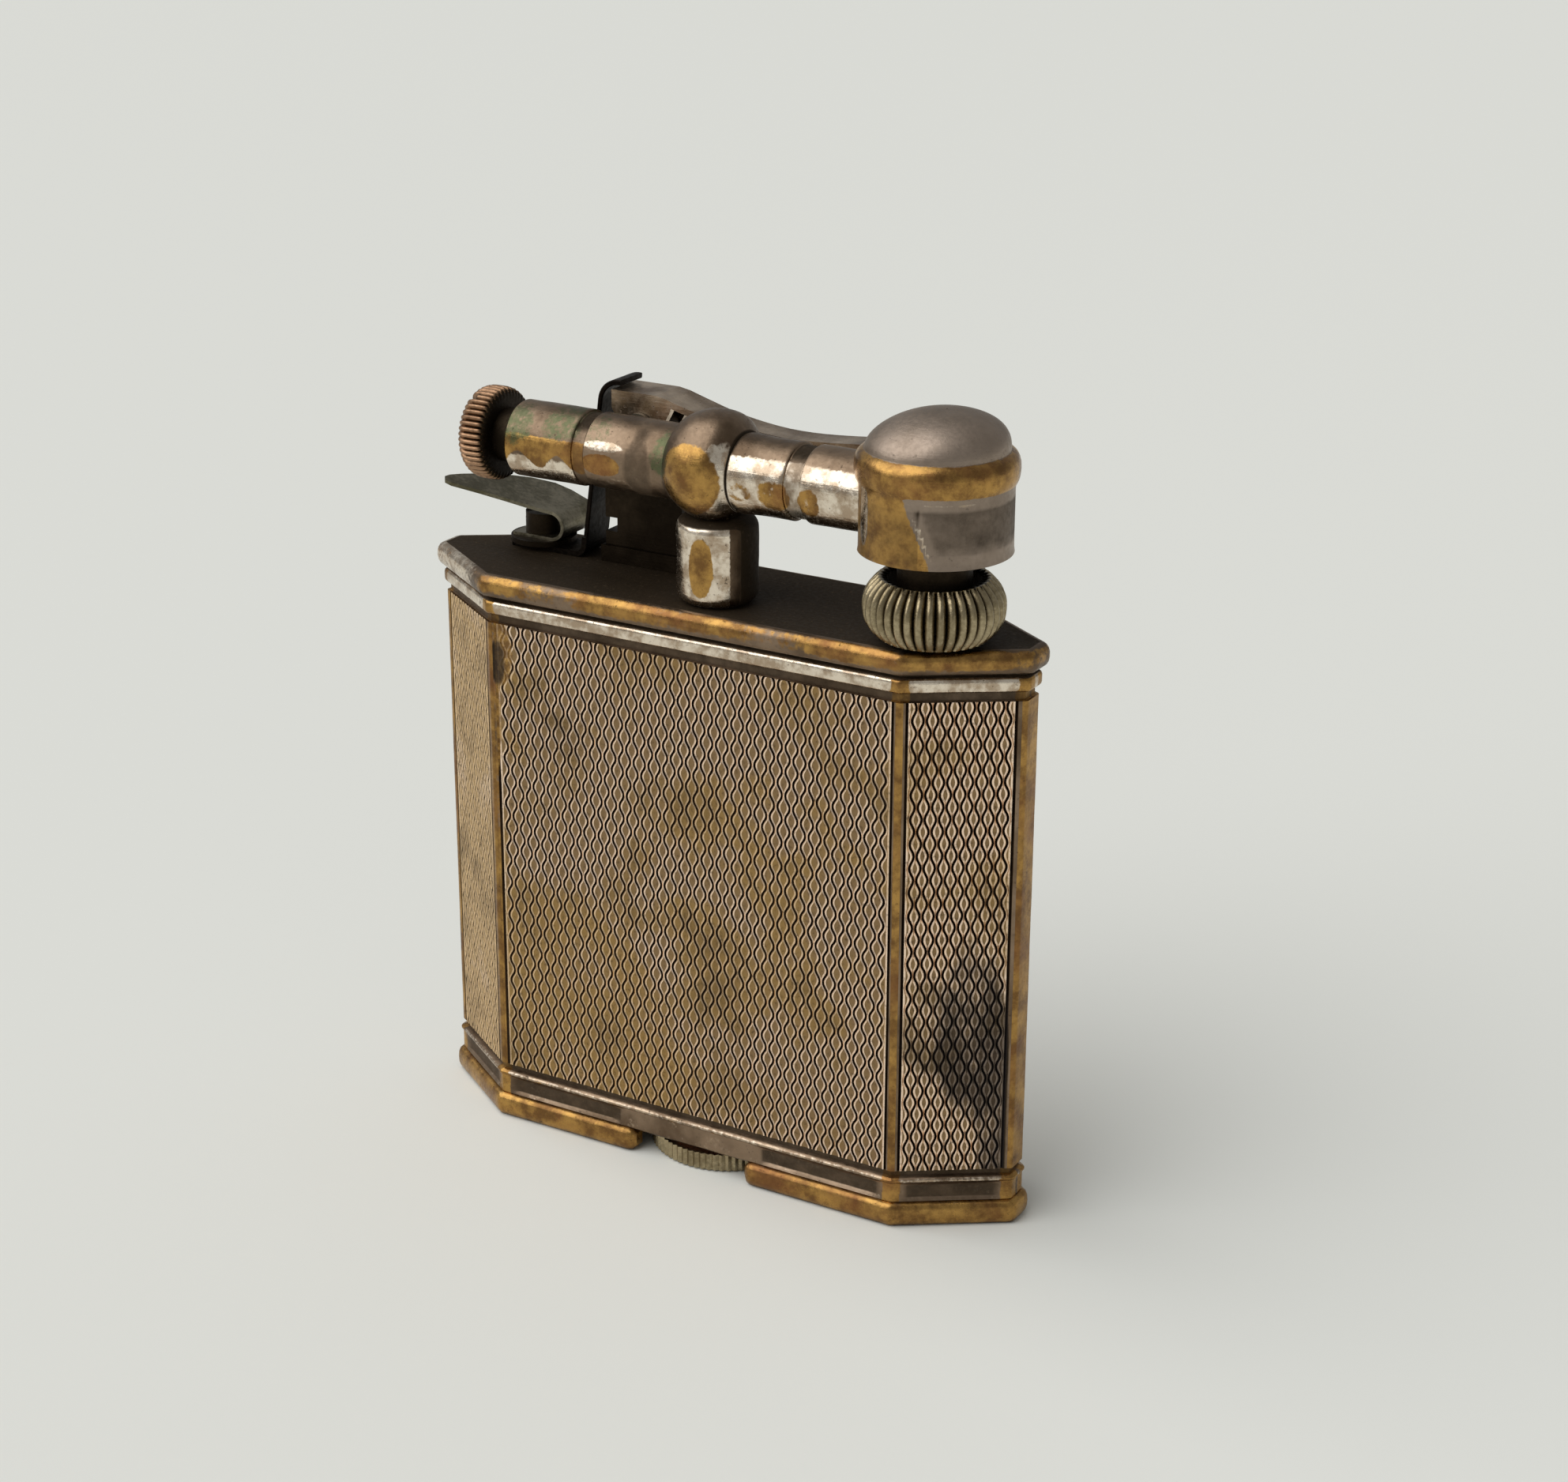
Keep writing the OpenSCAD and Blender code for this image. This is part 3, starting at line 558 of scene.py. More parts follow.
# Lowest and highest level of each moulding, and where shadow gathers
SKIRT = (1.5, 3.05)
SUNK_BAND = (1.85, 2.95)
LOW_BEAD = (3.0, 3.42)
LOW_GROOVE = (3.41, 3.9)
TOP_GROOVE = (35.85, 36.47)
TOP_BEAD = (36.4, 37.42)
NECK = (37.36, 37.8)
MITRED = (1.6, 37.4)


def band_recess(station):
    """The dark sunk band near the base stops short of each corner and of the finger cut-outs."""
    base, normal, edge_distance = station
    near = edge_distance
    if abs(normal[1]) > 0.99:
        near = min(near, abs(base[0]) - CUTOUT_HALF - 0.5)
    return 0.03 - 0.17 * float(smooth((near - 0.2) / 1.0))


def half_sunk(station):
    return 0.5 * band_recess(station) + 0.015


def inside(z, low, high, soft=0.06):
    """1 between two levels, falling to 0 just inside each."""
    return smooth((z - low) / soft) * smooth((high - z) / soft)


def from_corner(x, y):
    """Distance from the nearest vertical edge of the case."""
    far = np.full(len(x), 99.0)
    for vertex in CORNERS:
        far = np.minimum(far, np.hypot(x - vertex[0], y - vertex[1]))
    return far


def make_case_body():
    """The shell behind the panels, with its mouldings."""
    behind, groove_in, inner = -0.14, -0.24, -0.6
    section = [(1.55, -0.12), (1.70, 0.02), (1.84, half_sunk), (1.95, band_recess), (2.4, band_recess),
               (2.78, band_recess), (2.9, half_sunk), (3.02, 0.03), (3.08, 0.11), (3.16, 0.17),
               (3.28, 0.17), (3.37, 0.10), (3.43, -0.08), (3.50, groove_in), (3.82, groove_in),
               (3.88, behind), (20.0, behind), (35.87, behind), (35.92, groove_in), (36.36, groove_in),
               (36.43, -0.08), (36.48, 0.04), (36.58, 0.13), (36.7, 0.165), (36.95, BAND_OUT),
               (37.18, 0.165), (37.30, 0.11), (37.38, 0.02), (37.44, -0.12), (37.5, -0.2),
               (37.72, -0.2), (37.72, inner), (1.55, inner)]
    body = sweep("case_body", ring_stations(0.35), section, PLATE)
    soften(body, 0.012)

    def silver(x, y, z):
        band = (0.62 + 0.2 * smooth((x + 12) / 8)) * inside(z, *TOP_BEAD)
        ridge = 0.5 * inside(z, *LOW_BEAD)
        return (band + ridge + 0.36 * inside(z, *SKIRT)) * smooth((from_corner(x, y) - 0.2) / 0.4)

    def wear(x, y, z):
        mitre = 0.95 * (1 - smooth((from_corner(x, y) - 0.45) / 0.35)) * inside(z, *MITRED)
        return mitre + 0.35 * inside(z, 36.4, 36.6) + 0.4 * inside(z, 2.9, 3.3)

    def grime(x, y, z):
        # Painted shade in the two grooves and in the neck under the top plate's rim; darker where the
        # sunk band lies deeper.
        shadow = 0.52 * inside(z, *TOP_GROOVE, 0.04) + 0.62 * inside(z, *NECK, 0.04)
        shadow += 0.54 * inside(z, *LOW_GROOVE, 0.04)
        depth_in = np.clip((0.02 - out_of(x, y)) / 0.12, 0, 1)
        return shadow + 0.55 * inside(z, *SUNK_BAND, 0.1) * smooth(depth_in * 1.3 - 0.15)

    paint(body, silver=silver, wear=wear, grime=grime)
    return finish_piece(body, "case", "worn_silver", "body_shell")


def out_of(x, y):
    """How far points stand out from the panels' planes."""
    best = np.full(len(x), -99.0)
    for edge in range(8):
        start, _, normal, _ = face_frame(edge)
        best = np.maximum(best, (x - start[0]) * normal[0] + (y - start[1]) * normal[1] - CORNER_ROUND)
    return best


def soften(obj, amount, size=2.2):
    """Handling marks: moves every point a little along its normal."""
    mesh = obj.data
    co = read_points(mesh)
    x, y, z = co.T * 1000
    shift = wobble(x, y, z, size, amount) + wobble(y, z, x, size * 0.37, amount * 0.5)
    co = co + read_points(mesh, "normal") * shift[:, None] * MM
    mesh.vertices.foreach_set("co", co.reshape(-1))
    mesh.update()
    return obj


# Engine turning: the waved lines' pitch up the face, and the heights and materials across one line
WAVE_PITCH = 1.62
ROW_STEP = WAVE_PITCH / 12
PANEL_MATERIALS = ("cut", "wall", "core", "plate")
CUT, WALL, CORE, PLAIN = range(4)
HEIGHTS = (-0.10, -0.012, 0.03, -0.02, -0.03, -0.02, 0.03, -0.012)
KINDS = (CUT, WALL, WALL, CORE, CORE, WALL, WALL, CUT)
STRIP = 0.16
BORDER_CUT = 0.10
SLAB_BACK = -0.13


def line_places(width):
    """Places across one waved line where its height changes, the same on both sides of its middle."""
    half = [0 * width, np.minimum(0.085, 0.26 * width), np.minimum(0.15, 0.40 * width),
            np.minimum(0.215, 0.47 * width), 0.5 * width]
    return half + [width - e for e in half[3:0:-1]]


def line_columns(rows, length, spacing, left, right):
    """Columns of a panel: place along the face, height, and material of the strip to the right."""
    count = round((length - left - right) / spacing)
    spacing = (length - left - right) / count
    phase = np.cos(2 * math.pi * (rows - PANEL_LOW) / WAVE_PITCH)
    lines = [left + i * spacing + (0.3 * spacing * (-1) ** i * phase if 0 < i < count else 0 * phase)
             for i in range(count + 1)]
    ones = np.ones(len(rows))
    columns = [(STRIP * ones, 0.0, PLAIN), ((left - BORDER_CUT) * ones, 0.0, CUT)]
    for line, following in zip(lines[:-1], lines[1:]):
        for place, height, kind in zip(line_places(following - line), HEIGHTS, KINDS):
            columns.append((line + place, height, kind))
    columns += [(lines[count], HEIGHTS[0], CUT), ((length - right + BORDER_CUT) * ones, 0.0, PLAIN)]
    return columns + [((length - STRIP) * ones, 0.0, PLAIN)]


def close_slab(points, faces, n, m, base, normal):
    """Gives m rows of n points a flat back and side faces: the new points, and how many faces came."""
    border = list(range(n)) + [r * n + n - 1 for r in range(1, m)]
    border += [(m - 1) * n + k for k in range(n - 2, -1, -1)] + [r * n for r in range(m - 2, 0, -1)]
    first, total = len(points), len(border)
    rim = points[border].copy()
    deep = (rim[:, 0] - base[0]) * normal[0] + (rim[:, 1] - base[1]) * normal[1]
    rim[:, 0] += normal[0] * (SLAB_BACK - deep)
    rim[:, 1] += normal[1] * (SLAB_BACK - deep)
    for k in range(total):
        after = (k + 1) % total
        faces.append((border[k], border[after], first + after, first + k))
    faces.append(tuple(range(first, first + total)))
    return np.vstack([points, rim]), total + 1


def panel_mesh(name, edge, spacing, left, right):
    """Builds an engine-turned face as one closed slab."""
    start, along, normal, length = face_frame(edge)
    rows = np.append(np.arange(PANEL_LOW, PANEL_HIGH - 0.02, ROW_STEP), PANEL_HIGH)
    columns = line_columns(rows, length, spacing, left, right)
    u = np.stack([c[0] for c in columns], 1)
    h = np.tile(np.array([c[1] for c in columns]), (len(rows), 1))
    z = np.tile(rows[:, None], (1, len(columns)))
    if edge == FRONT:
        h = h * (1 - 0.9 * rubbed_corner(u - FRONT_HALF, z))
    base = start + normal * CORNER_ROUND
    x = base[0] + along[0] * u + normal[0] * h
    y = base[1] + along[1] * u + normal[1] * h
    points = np.stack([x, y, z], 2).reshape(-1, 3)
    faces = quads(len(rows), len(columns))
    kinds = np.tile([c[2] for c in columns[:-1]], len(rows) - 1)
    points, added = close_slab(points, faces, len(columns), len(rows), base, normal)
    kinds = np.append(kinds, np.full(added, PLAIN))
    return build(name, points, faces, [MATERIALS[k] for k in PANEL_MATERIALS], kinds, sharp=60.0)


def rubbed_corner(x, z):
    """Where the front's upper left corner has been scorched and rubbed smooth."""
    return np.clip(spot(x, z, -14.6, 33.9, 1.2, 2.3) + 0.8 * spot(x, z, -14.9, 29.5, 0.5, 4.5), 0, 1)


FACET = 15.3


def panel_soot(x, y, z):
    """The scorched corner at the front's upper left and the blue-black patch on the right."""
    soot = marks(x, z, (0.85, -14.6, 33.2, 0.6, 1.6), (0.08, -10.5, 30.0, 3.0, 3.0),
                 (0.08, 3.0, 13.0, 8.0, 5.0), (0.06, -8, 26, 5, 6),
                 (0.5, 19.3, 13.5, 1.9, 6.0), (0.5, 20.8, 8.0, 1.2, 6.0))
    facets = 0.3 * (x > FACET) * smooth((24 - z) / 14) + 0.1 * (x < -FACET)
    return (soot + facets) * (y < -1.0)


def panel_brass(x, y, z):
    left = 0.5 * (x < -FACET) + 0.35 * smooth((-11.5 - x) / 3.0)
    return 0.2 + left + marks(x, z, (0.8, -9.0, 9.0, 9.0, 8.0), (0.35, 6, 20, 9, 9))


def make_panels():
    """Each panel's face, line spacing, and plain margins at its left and right."""
    layout = [("front_panel", FRONT, 0.565, 0.45, 0.36),
              ("right_front_panel", RIGHT_FRONT, 0.455, 0.4, 0.5),
              ("right_back_panel", RIGHT_BACK, 0.455, 0.5, 0.4),
              ("back_panel", BACK, 0.565, 0.4, 0.4),
              ("left_back_panel", LEFT_BACK, 0.455, 0.4, 0.5),
              ("left_front_panel", LEFT_FRONT, 0.455, 0.5, 0.4)]
    for name, *measures in layout:
        panel = panel_mesh(name, *measures)
        finish_piece(panel, "case", "worn_silver", "body_shell")
        paint(panel, grime=panel_soot, wear=panel_brass,
              rubbed=lambda x, y, z: rubbed_corner(x, z) * (y < -4.9))


def edge_strip(name, stations):
    """A plain worn strip that runs up the case's vertical edge."""
    section = [(z, 0.004) for z in np.linspace(PANEL_LOW, PANEL_HIGH, 65)]
    section += [(PANEL_HIGH, SLAB_BACK), (PANEL_LOW, SLAB_BACK)]
    piece = sweep(name, stations, section, PLATE, loop=False, caps=True)
    soften(piece, 0.012)
    paint(piece, wear=0.74, silver=0.22, grime=0.34)
    return finish_piece(piece, "case", "worn_silver", "body_shell")


def make_edge_strips():
    """Strips at the front's and back's edges, and one round each narrow end face."""
    places = (("edge_front_left", FRONT), ("edge_front_right", RIGHT_FRONT), ("edge_back_right", BACK),
              ("edge_back_left", LEFT_BACK), ("edge_right_end", RIGHT_END), ("edge_left_end", LEFT_END))
    for name, corner in places:
        before = (corner - 1) % 8
        length = face_frame(before)[3]
        stations = face_stations(before, length - STRIP, length)[:-1] + corner_stations(corner)
        if corner in (RIGHT_END, LEFT_END):
            stations += face_stations(corner)[1:-1] + corner_stations(corner + 1)
            corner += 1
        edge_strip(name, stations + face_stations(corner, 0, STRIP)[1:])


def make_top_plate():
    """Rounded rim with a flat top, closed underneath."""
    low = PLATE_LOW[2]
    outer = [(low + up, out) for up, out in (
        (0, 0.12), (0.04, 0.30), (0.16, 0.45), (0.36, 0.55), (0.62, 0.595), (0.9, 0.59), (1.14, 0.53),
        (1.33, 0.40), (1.44, 0.24), (1.5, 0.05), (1.49, -0.12), (1.47, -0.3))]
    stations = ring_stations(0.3)
    n = len(outer)
    points, faces = [], []
    for station in stations:
        points += [at(station, out, z) for z, out in outer + [(low, -0.6), (low + 0.5, -0.6)]]
    n += 2
    total = len(stations)
    # the ring's section is open between the top's inner edge and the recess underneath
    for i in range(total):
        a, b = i * n, (i + 1) % total * n
        for k in range(n - 3):
            faces.append((a + k, a + k + 1, b + k + 1, b + k))
        faces.append((a, b, b + n - 2, a + n - 2))
        faces.append((a + n - 2, b + n - 2, b + n - 1, a + n - 1))
    faces.append(tuple(i * n + n - 3 for i in range(total)))
    faces.append(tuple(i * n + n - 1 for i in range(total)))
    plate = build("top_cover", points, faces, PLATE)
    soften(plate, 0.01)

    def brass(x, y, z):
        out = out_of(x, y)
        edge = smooth((out - 0.10) / 0.2) * smooth((z - low - 0.2) / 0.3)
        patchy = 0.75 + 0.25 * np.sin(x * 0.55 + 1.0) * np.sin(x * 0.21)
        left = 1 - 0.45 * smooth((-15 - x) / 2)
        return 0.85 * edge * patchy * left + 0.25 * smooth((low + 0.5 - z) / 0.3)

    def dirt_and_shade(x, y, z):
        # Dark dirt on the plate's top, and painted shade on the rim's lower, downward-facing part.
        top = smooth((z - low - 1.40) / 0.06) * smooth((0.12 - out_of(x, y)) / 0.25)
        return 0.92 * top + 0.36 * smooth((low + 0.95 - z) / 0.35)

    paint(plate, wear=brass, grime=dirt_and_shade,
          silver=lambda x, y, z: 0.25 + 0.35 * smooth((-15 - x) / 3))
    return finish_piece(plate, "case", "tarnished_silver", "top_plate")


RIM_MIDDLE = 0.85
RIM_STEP = 0.3


def rim_stations(leave, arrive, corners):
    """Stations from the cut-out in one face round to the cut-out in the other."""
    length = face_frame(FRONT)[3]
    middle = length / 2
    stations = face_stations(leave, middle + CUTOUT_HALF, length, RIM_STEP)[:-1]
    for corner in corners:
        stations += corner_stations(corner)
        if corner != corners[-1]:
            stations += face_stations(corner, step=RIM_STEP)[1:-1]
    return stations + face_stations(arrive, 0, middle - CUTOUT_HALF, RIM_STEP)[1:]


def make_rim(name, leave, arrive, corners):
    """A rounded rim that narrows where it meets the finger cut-outs."""
    section = [(BASE_RIM_TOP, -0.9), (BASE_RIM_TOP, 0.02), (1.60, 0.20), (1.48, 0.33), (1.25, 0.42),
               (0.9, 0.45), (0.55, 0.43), (0.28, 0.35), (0.10, 0.22), (0.0, 0.02), (0.0, -0.9)]
    stations = rim_stations(leave, arrive, corners)
    points = []
    for i, station in enumerate(stations):
        run = RIM_STEP * min(i, len(stations) - 1 - i)
        squeeze = 0.55 + 0.45 * math.sqrt(max(0.0, 1 - max(0.0, 1 - run / 0.75) ** 2))
        for z, out in section:
            level = RIM_MIDDLE + (z - RIM_MIDDLE) * squeeze
            points.append(at(station, -0.5 + (out + 0.5) * squeeze, level))
    faces = quads(len(stations), len(section), close_columns=True)
    piece = build(name, points, faces + end_faces(len(section), len(points)), PLATE)
    soften(piece, 0.012)
    # Evenly dark, with painted shade at the rims' foot where they meet the floor.
    paint(piece, wear=lambda x, y, z: 0.85 - 0.2 * smooth((z - 1.2) / 0.4), silver=0.25,
          grime=lambda x, y, z: 0.3 + 0.4 * smooth((0.2 - z) / 0.2))
    return finish_piece(piece, "case", "worn_brass", "base_plate")


def make_base():
    """Two rounded rims that stop at the finger cut-outs, and the floor between them."""
    make_rim("base_rim_right", FRONT, BACK, (RIGHT_FRONT, RIGHT_END, RIGHT_BACK, BACK))
    make_rim("base_rim_left", BACK, FRONT, (LEFT_BACK, LEFT_END, LEFT_FRONT, FRONT))
    floor = sweep("base_floor", ring_stations(1.5), [(0.2, -0.75), (2.2, -0.62)], PLATE, sharp=20)
    work = bmesh.new()
    work.from_mesh(floor.data)
    close_mesh(work, floor)
    recess = drill(-1.0, 1.6, 5.6, (0, 0, 0), "z", 96)
    shaft = drill(-1.0, 3.0, 2.6, (0, 0, 0), "z", 48)
    notches = [bar((-CUTOUT_HALF, s * 6 - 1.4, -1), (CUTOUT_HALF, s * 6 + 1.4, 1.6)) for s in (-1, 1)]
    cut(floor, recess, shaft, *notches)
    paint(floor, wear=0.6, grime=lambda x, y, z: 0.45 + 0.3 * (z > 0.3))
    return finish_piece(floor, "case", "worn_brass", "base_plate")


# ---- burner end ----

RIBS = 38
WHEEL_R = 4.4
WHEEL_HEIGHT = 3.75
DISH_R = 3.16


def barrel_radius(u):
    """The wheel's radius, with u from -1 at its foot to 1 at its top."""
    return WHEEL_R - 0.95 * np.abs(u) ** 2.4


def make_thumb_wheel():
    low = WHEEL_LOW[2]
    top = low + WHEEL_HEIGHT
    barrel = []
    for u in np.linspace(-1, 1, 27):
        barrel.append((low + WHEEL_HEIGHT * (u + 1) / 2, barrel_radius(u)))
    profile = [(low, 1.65), (low, 2.4), (low, 3.1)] + barrel
    profile += [(top - down, r) for down, r in (
        (0.02, 3.3), (0.08, 3.18), (0.3, 3.02), (0.62, 2.85), (0.9, 2.7), (1.0, 2.5), (1.0, 2.3))]
    profile += [(WHEEL_HIGH[2], 2.3), (WHEEL_HIGH[2], 1.65)]

    def ribbed(angle, along, radius):
        level = np.clip(1 - np.abs((along - low) / WHEEL_HEIGHT * 2 - 1), 0, 1)
        fade = smooth(level * 9 + 0.35) * (radius > 3.12) * (along < top + 0.01)
        return radius - 0.38 * fade * (1 - np.abs(np.cos(RIBS * angle / 2)) ** 0.9)

    wheel = lathe("ribbed_wheel", profile, (*BURNER, 0), "z",
                  [MATERIALS["nickel"], MATERIALS["soot_and_shade"]], RIBS * 12, ribbed, sharp=50)
    # The dish round the wick takes the near-black plate: soot, with painted shade under the cap.
    for polygon in wheel.data.polygons:
        c = polygon.center * 1000
        if math.hypot(c.x - BURNER[0], c.y - BURNER[1]) < DISH_R and c.z > low + 1:
            polygon.material_index = 1

    def gaps(x, y, z):
        """The hollows between ribs, found by their distance from the barrel's outline."""
        outline = barrel_radius((z - low) / WHEEL_HEIGHT * 2 - 1)
        return smooth((outline - np.hypot(x - BURNER[0], y - BURNER[1]) - 0.12) / 0.22)

    paint(wheel, gap=gaps)
    return finish_piece(wheel, "wheels", "pale_nickel", "thumb_wheel")


CAP_R = 4.7
CAP_WALL = 0.4
GATE_HALF = 2.66
DOME_FOOT = 51.1
DOME_RISE = 2.4
LEAN = 0.5
LEAN_WAY = (0.864, 0.503)


def cap_profile(inset):
    """The cap's outline from its lower edge to its crown, moved inward by inset."""
    r = CAP_R - inset
    bottom = CAP_LOW[2]
    wall = [(bottom + up, r + out) for up, out in (
        (0.03, -0.16), (0, -0.05), (0.04, 0.05), (0.3, 0.01), (1.0, 0))]
    wall += [(level, r + out) for level, out in (
        (48.9, 0), (49.12, 0.03), (49.3, 0.13), (49.5, 0.22), (49.75, 0.27), (50.1, 0.3),
        (50.45, 0.28), (50.75, 0.2), (50.95, 0.08), (51.08, -0.06))]
    base = r - 0.3
    dome = []
    for a in np.linspace(2, 90, 26):
        q = base * math.cos(math.radians(a))
        rise = max(0.0, 1 - (q / base) ** 2.05) ** (1 / 2.05)
        dome.append((51.12 + 2.42 * rise - inset, q))
    return wall, dome


def patch_edge(z):
    """Bearing of the slanting left border of the cap's dark patch."""
    return -79 + 5 * (48 - z)


def gate_drip(angle, z):
    """The drip-shaped silver mark by the gate."""
    return spot(angle, z, -129, 47.6, 6.5, 1.9)


def cap_brass(x, y, z):
    angle = bearing(x, y, BURNER)
    band = inside(z, 49.1, 51.35, 0.35)
    left = smooth((patch_edge(z) - angle) / 5) * (angle < 0) * smooth((z - 44.6) / 0.5) * (z < 49.6)
    return 1.1 * band + 0.75 * left * (1 - gate_drip(angle, z))


def cap_silver(x, y, z):
    """The drip and the light border of the dark patch."""
    angle = bearing(x, y, BURNER)
    border = spot(angle - patch_edge(z), z, 0, 46.9, 3.0, 1.8)
    border = border + 0.8 * spot(angle, z, -60, 48.9, 35, 0.2)
    return 0.8 * gate_drip(angle, z) + 0.55 * border


def cap_grime(x, y, z):
    angle = bearing(x, y, BURNER)
    patch = smooth((angle - patch_edge(z)) / 9) * smooth((48.9 - z) / 0.5) * smooth((z - 45.2) / 1.0)
    below = 0.44 * (angle < -75) * smooth((49.0 - z) / 0.5) * (1 - gate_drip(angle, z))
    return 0.5 * patch * (angle < 60) + below


def make_cap():
    """The domed cap, hollow, with a gate for the tube."""
    wall, dome = cap_profile(0.0)
    inner_wall, inner_dome = cap_profile(CAP_WALL)
    section = wall + dome[:-1] + [(CAP_HIGH[2], 0.05)]
    lining = [(CAP_HIGH[2] - CAP_WALL, 0.05)] + inner_dome[:-1][::-1] + inner_wall[:2:-1]
    cap = lathe("snuffer", refine(section, 0.5) + refine(lining, 0.9), (*BURNER, 0), "z",
                [MATERIALS["matt_plate"]], 180, sharp=50)
    close_poles(cap)
    lean_dome(cap)
    tube = drill(-8, -1, GATE_HALF, (BURNER[0], TUBE_Y, TUBE_Z), "x", 72)
    gate_low = (BURNER[0] - 8, TUBE_Y - GATE_HALF, CAP_LOW[2] - 1)
    cut(cap, tube, bar(gate_low, (BURNER[0] - 1, TUBE_Y + GATE_HALF, TUBE_Z)))
    paint(cap, wear=cap_brass, silver=cap_silver, grime=cap_grime)
    return finish_piece(cap, "arm", "tarnished_silver", "snuffer_cap")


def lean_dome(obj):
    """The dome is dented so that its top stands a little to the right and back."""
    for vertex in obj.data.vertices:
        lean = LEAN * float(smooth((vertex.co.z * 1000 - DOME_FOOT) / DOME_RISE))
        vertex.co.x += LEAN_WAY[0] * lean * MM
        vertex.co.y += LEAN_WAY[1] * lean * MM


def close_poles(obj):
    """Fills the two pinholes left at a lathe's axis."""
    work = bmesh.new()
    work.from_mesh(obj.data)
    tips = [v for v in work.verts
            if math.hypot(v.co.x * 1000 - BURNER[0], v.co.y * 1000 - BURNER[1]) < 0.06]
    between = CAP_HIGH[2] - 0.2
    upper = [v for v in tips if v.co.z * 1000 > between]
    lower = [v for v in tips if v.co.z * 1000 < between]
    joining = [f for f in work.faces
               if any(v in upper for v in f.verts) and any(v in lower for v in f.verts)]
    bmesh.ops.delete(work, geom=joining, context="FACES_ONLY")
    close_mesh(work, obj)


# ---- flint tube ----

TUBE_R = 2.46
CHANNEL_R = 1.4
LEFT_GROOVE = -8.36
RIGHT_GROOVE = 7.15
BALL_RISE = 0.2


def groove(profile_x, r, depth=0.18, width=1.25):
    """A rounded groove across a tube, centred at profile_x."""
    a, b = profile_x - width / 2, profile_x + width / 2
    return [(a - 0.06, r), (a + 0.02, r - 0.05), (a + 0.06, r - depth + 0.03), (a + 0.14, r - depth),
            (b - 0.14, r - depth), (b - 0.06, r - depth + 0.03), (b - 0.02, r - 0.05), (b + 0.06, r)]


def rise(z):
    """Height on the tube: 1 at its top, -1 at its underside."""
    return (z - TUBE_Z) / TUBE_R


def sleeve(name, outer, a, b, around=144, shape=None):
    """A section of the tube from a to b, turned round the flint's channel."""
    section = refine(outer, 0.25) + [(b, CHANNEL_R), (a, CHANNEL_R)]
    return lathe(name, section, (0, TUBE_Y, TUBE_Z), "x", PLATE, around, shape)


def make_left_tube():
    a, b = LEFT_TUBE
    r = TUBE_R
    half_groove = groove(LEFT_GROOVE, r, width=1.13)[:4]
    outer = [(a, r - 0.3), (a + 0.05, r - 0.12), (a + 0.2, r)] + half_groove + [(b, r - 0.18)]
    tube = sleeve("left_sleeve", outer, a, b)
    soften(tube, 0.02, 1.5)

    def brass(x, y, z):
        across = smooth((rise(z) + 0.42 + 0.22 * np.cos(2.1 * (x + 11.4))) / 0.25)
        return 0.85 * across * smooth((0.5 - rise(z)) / 0.25) * (y < TUBE_Y)

    def silver(x, y, z):
        across = smooth((rise(z) + 0.92) / 0.2) * smooth((0.0 - rise(z)) / 0.3)
        return 0.7 * across * (x < LEFT_GROOVE - 0.5)

    def dark(x, y, z):
        # Painted shade on the underside and the back, a painted dark reflection along the top, and a
        # darker stretch right of the groove.
        under = 0.75 * smooth((-0.85 - rise(z)) / 0.12) + 0.3 * (y > TUBE_Y + 1.5)
        return under + 0.4 * (x > LEFT_GROOVE - 0.5) + 0.3 * smooth((rise(z) - 0.55) / 0.2)

    def green(x, y, z):
        return marks(x, z - TUBE_Z, (0.6, -13.2, 1.3, 1.2, 1.2), (0.55, -9.9, 1.7, 1.6, 1.0))

    paint(tube, wear=brass, silver=silver, grime=dark, green=green)
    return finish_piece(tube, "case", "worn_silver", "flint_tube_left")


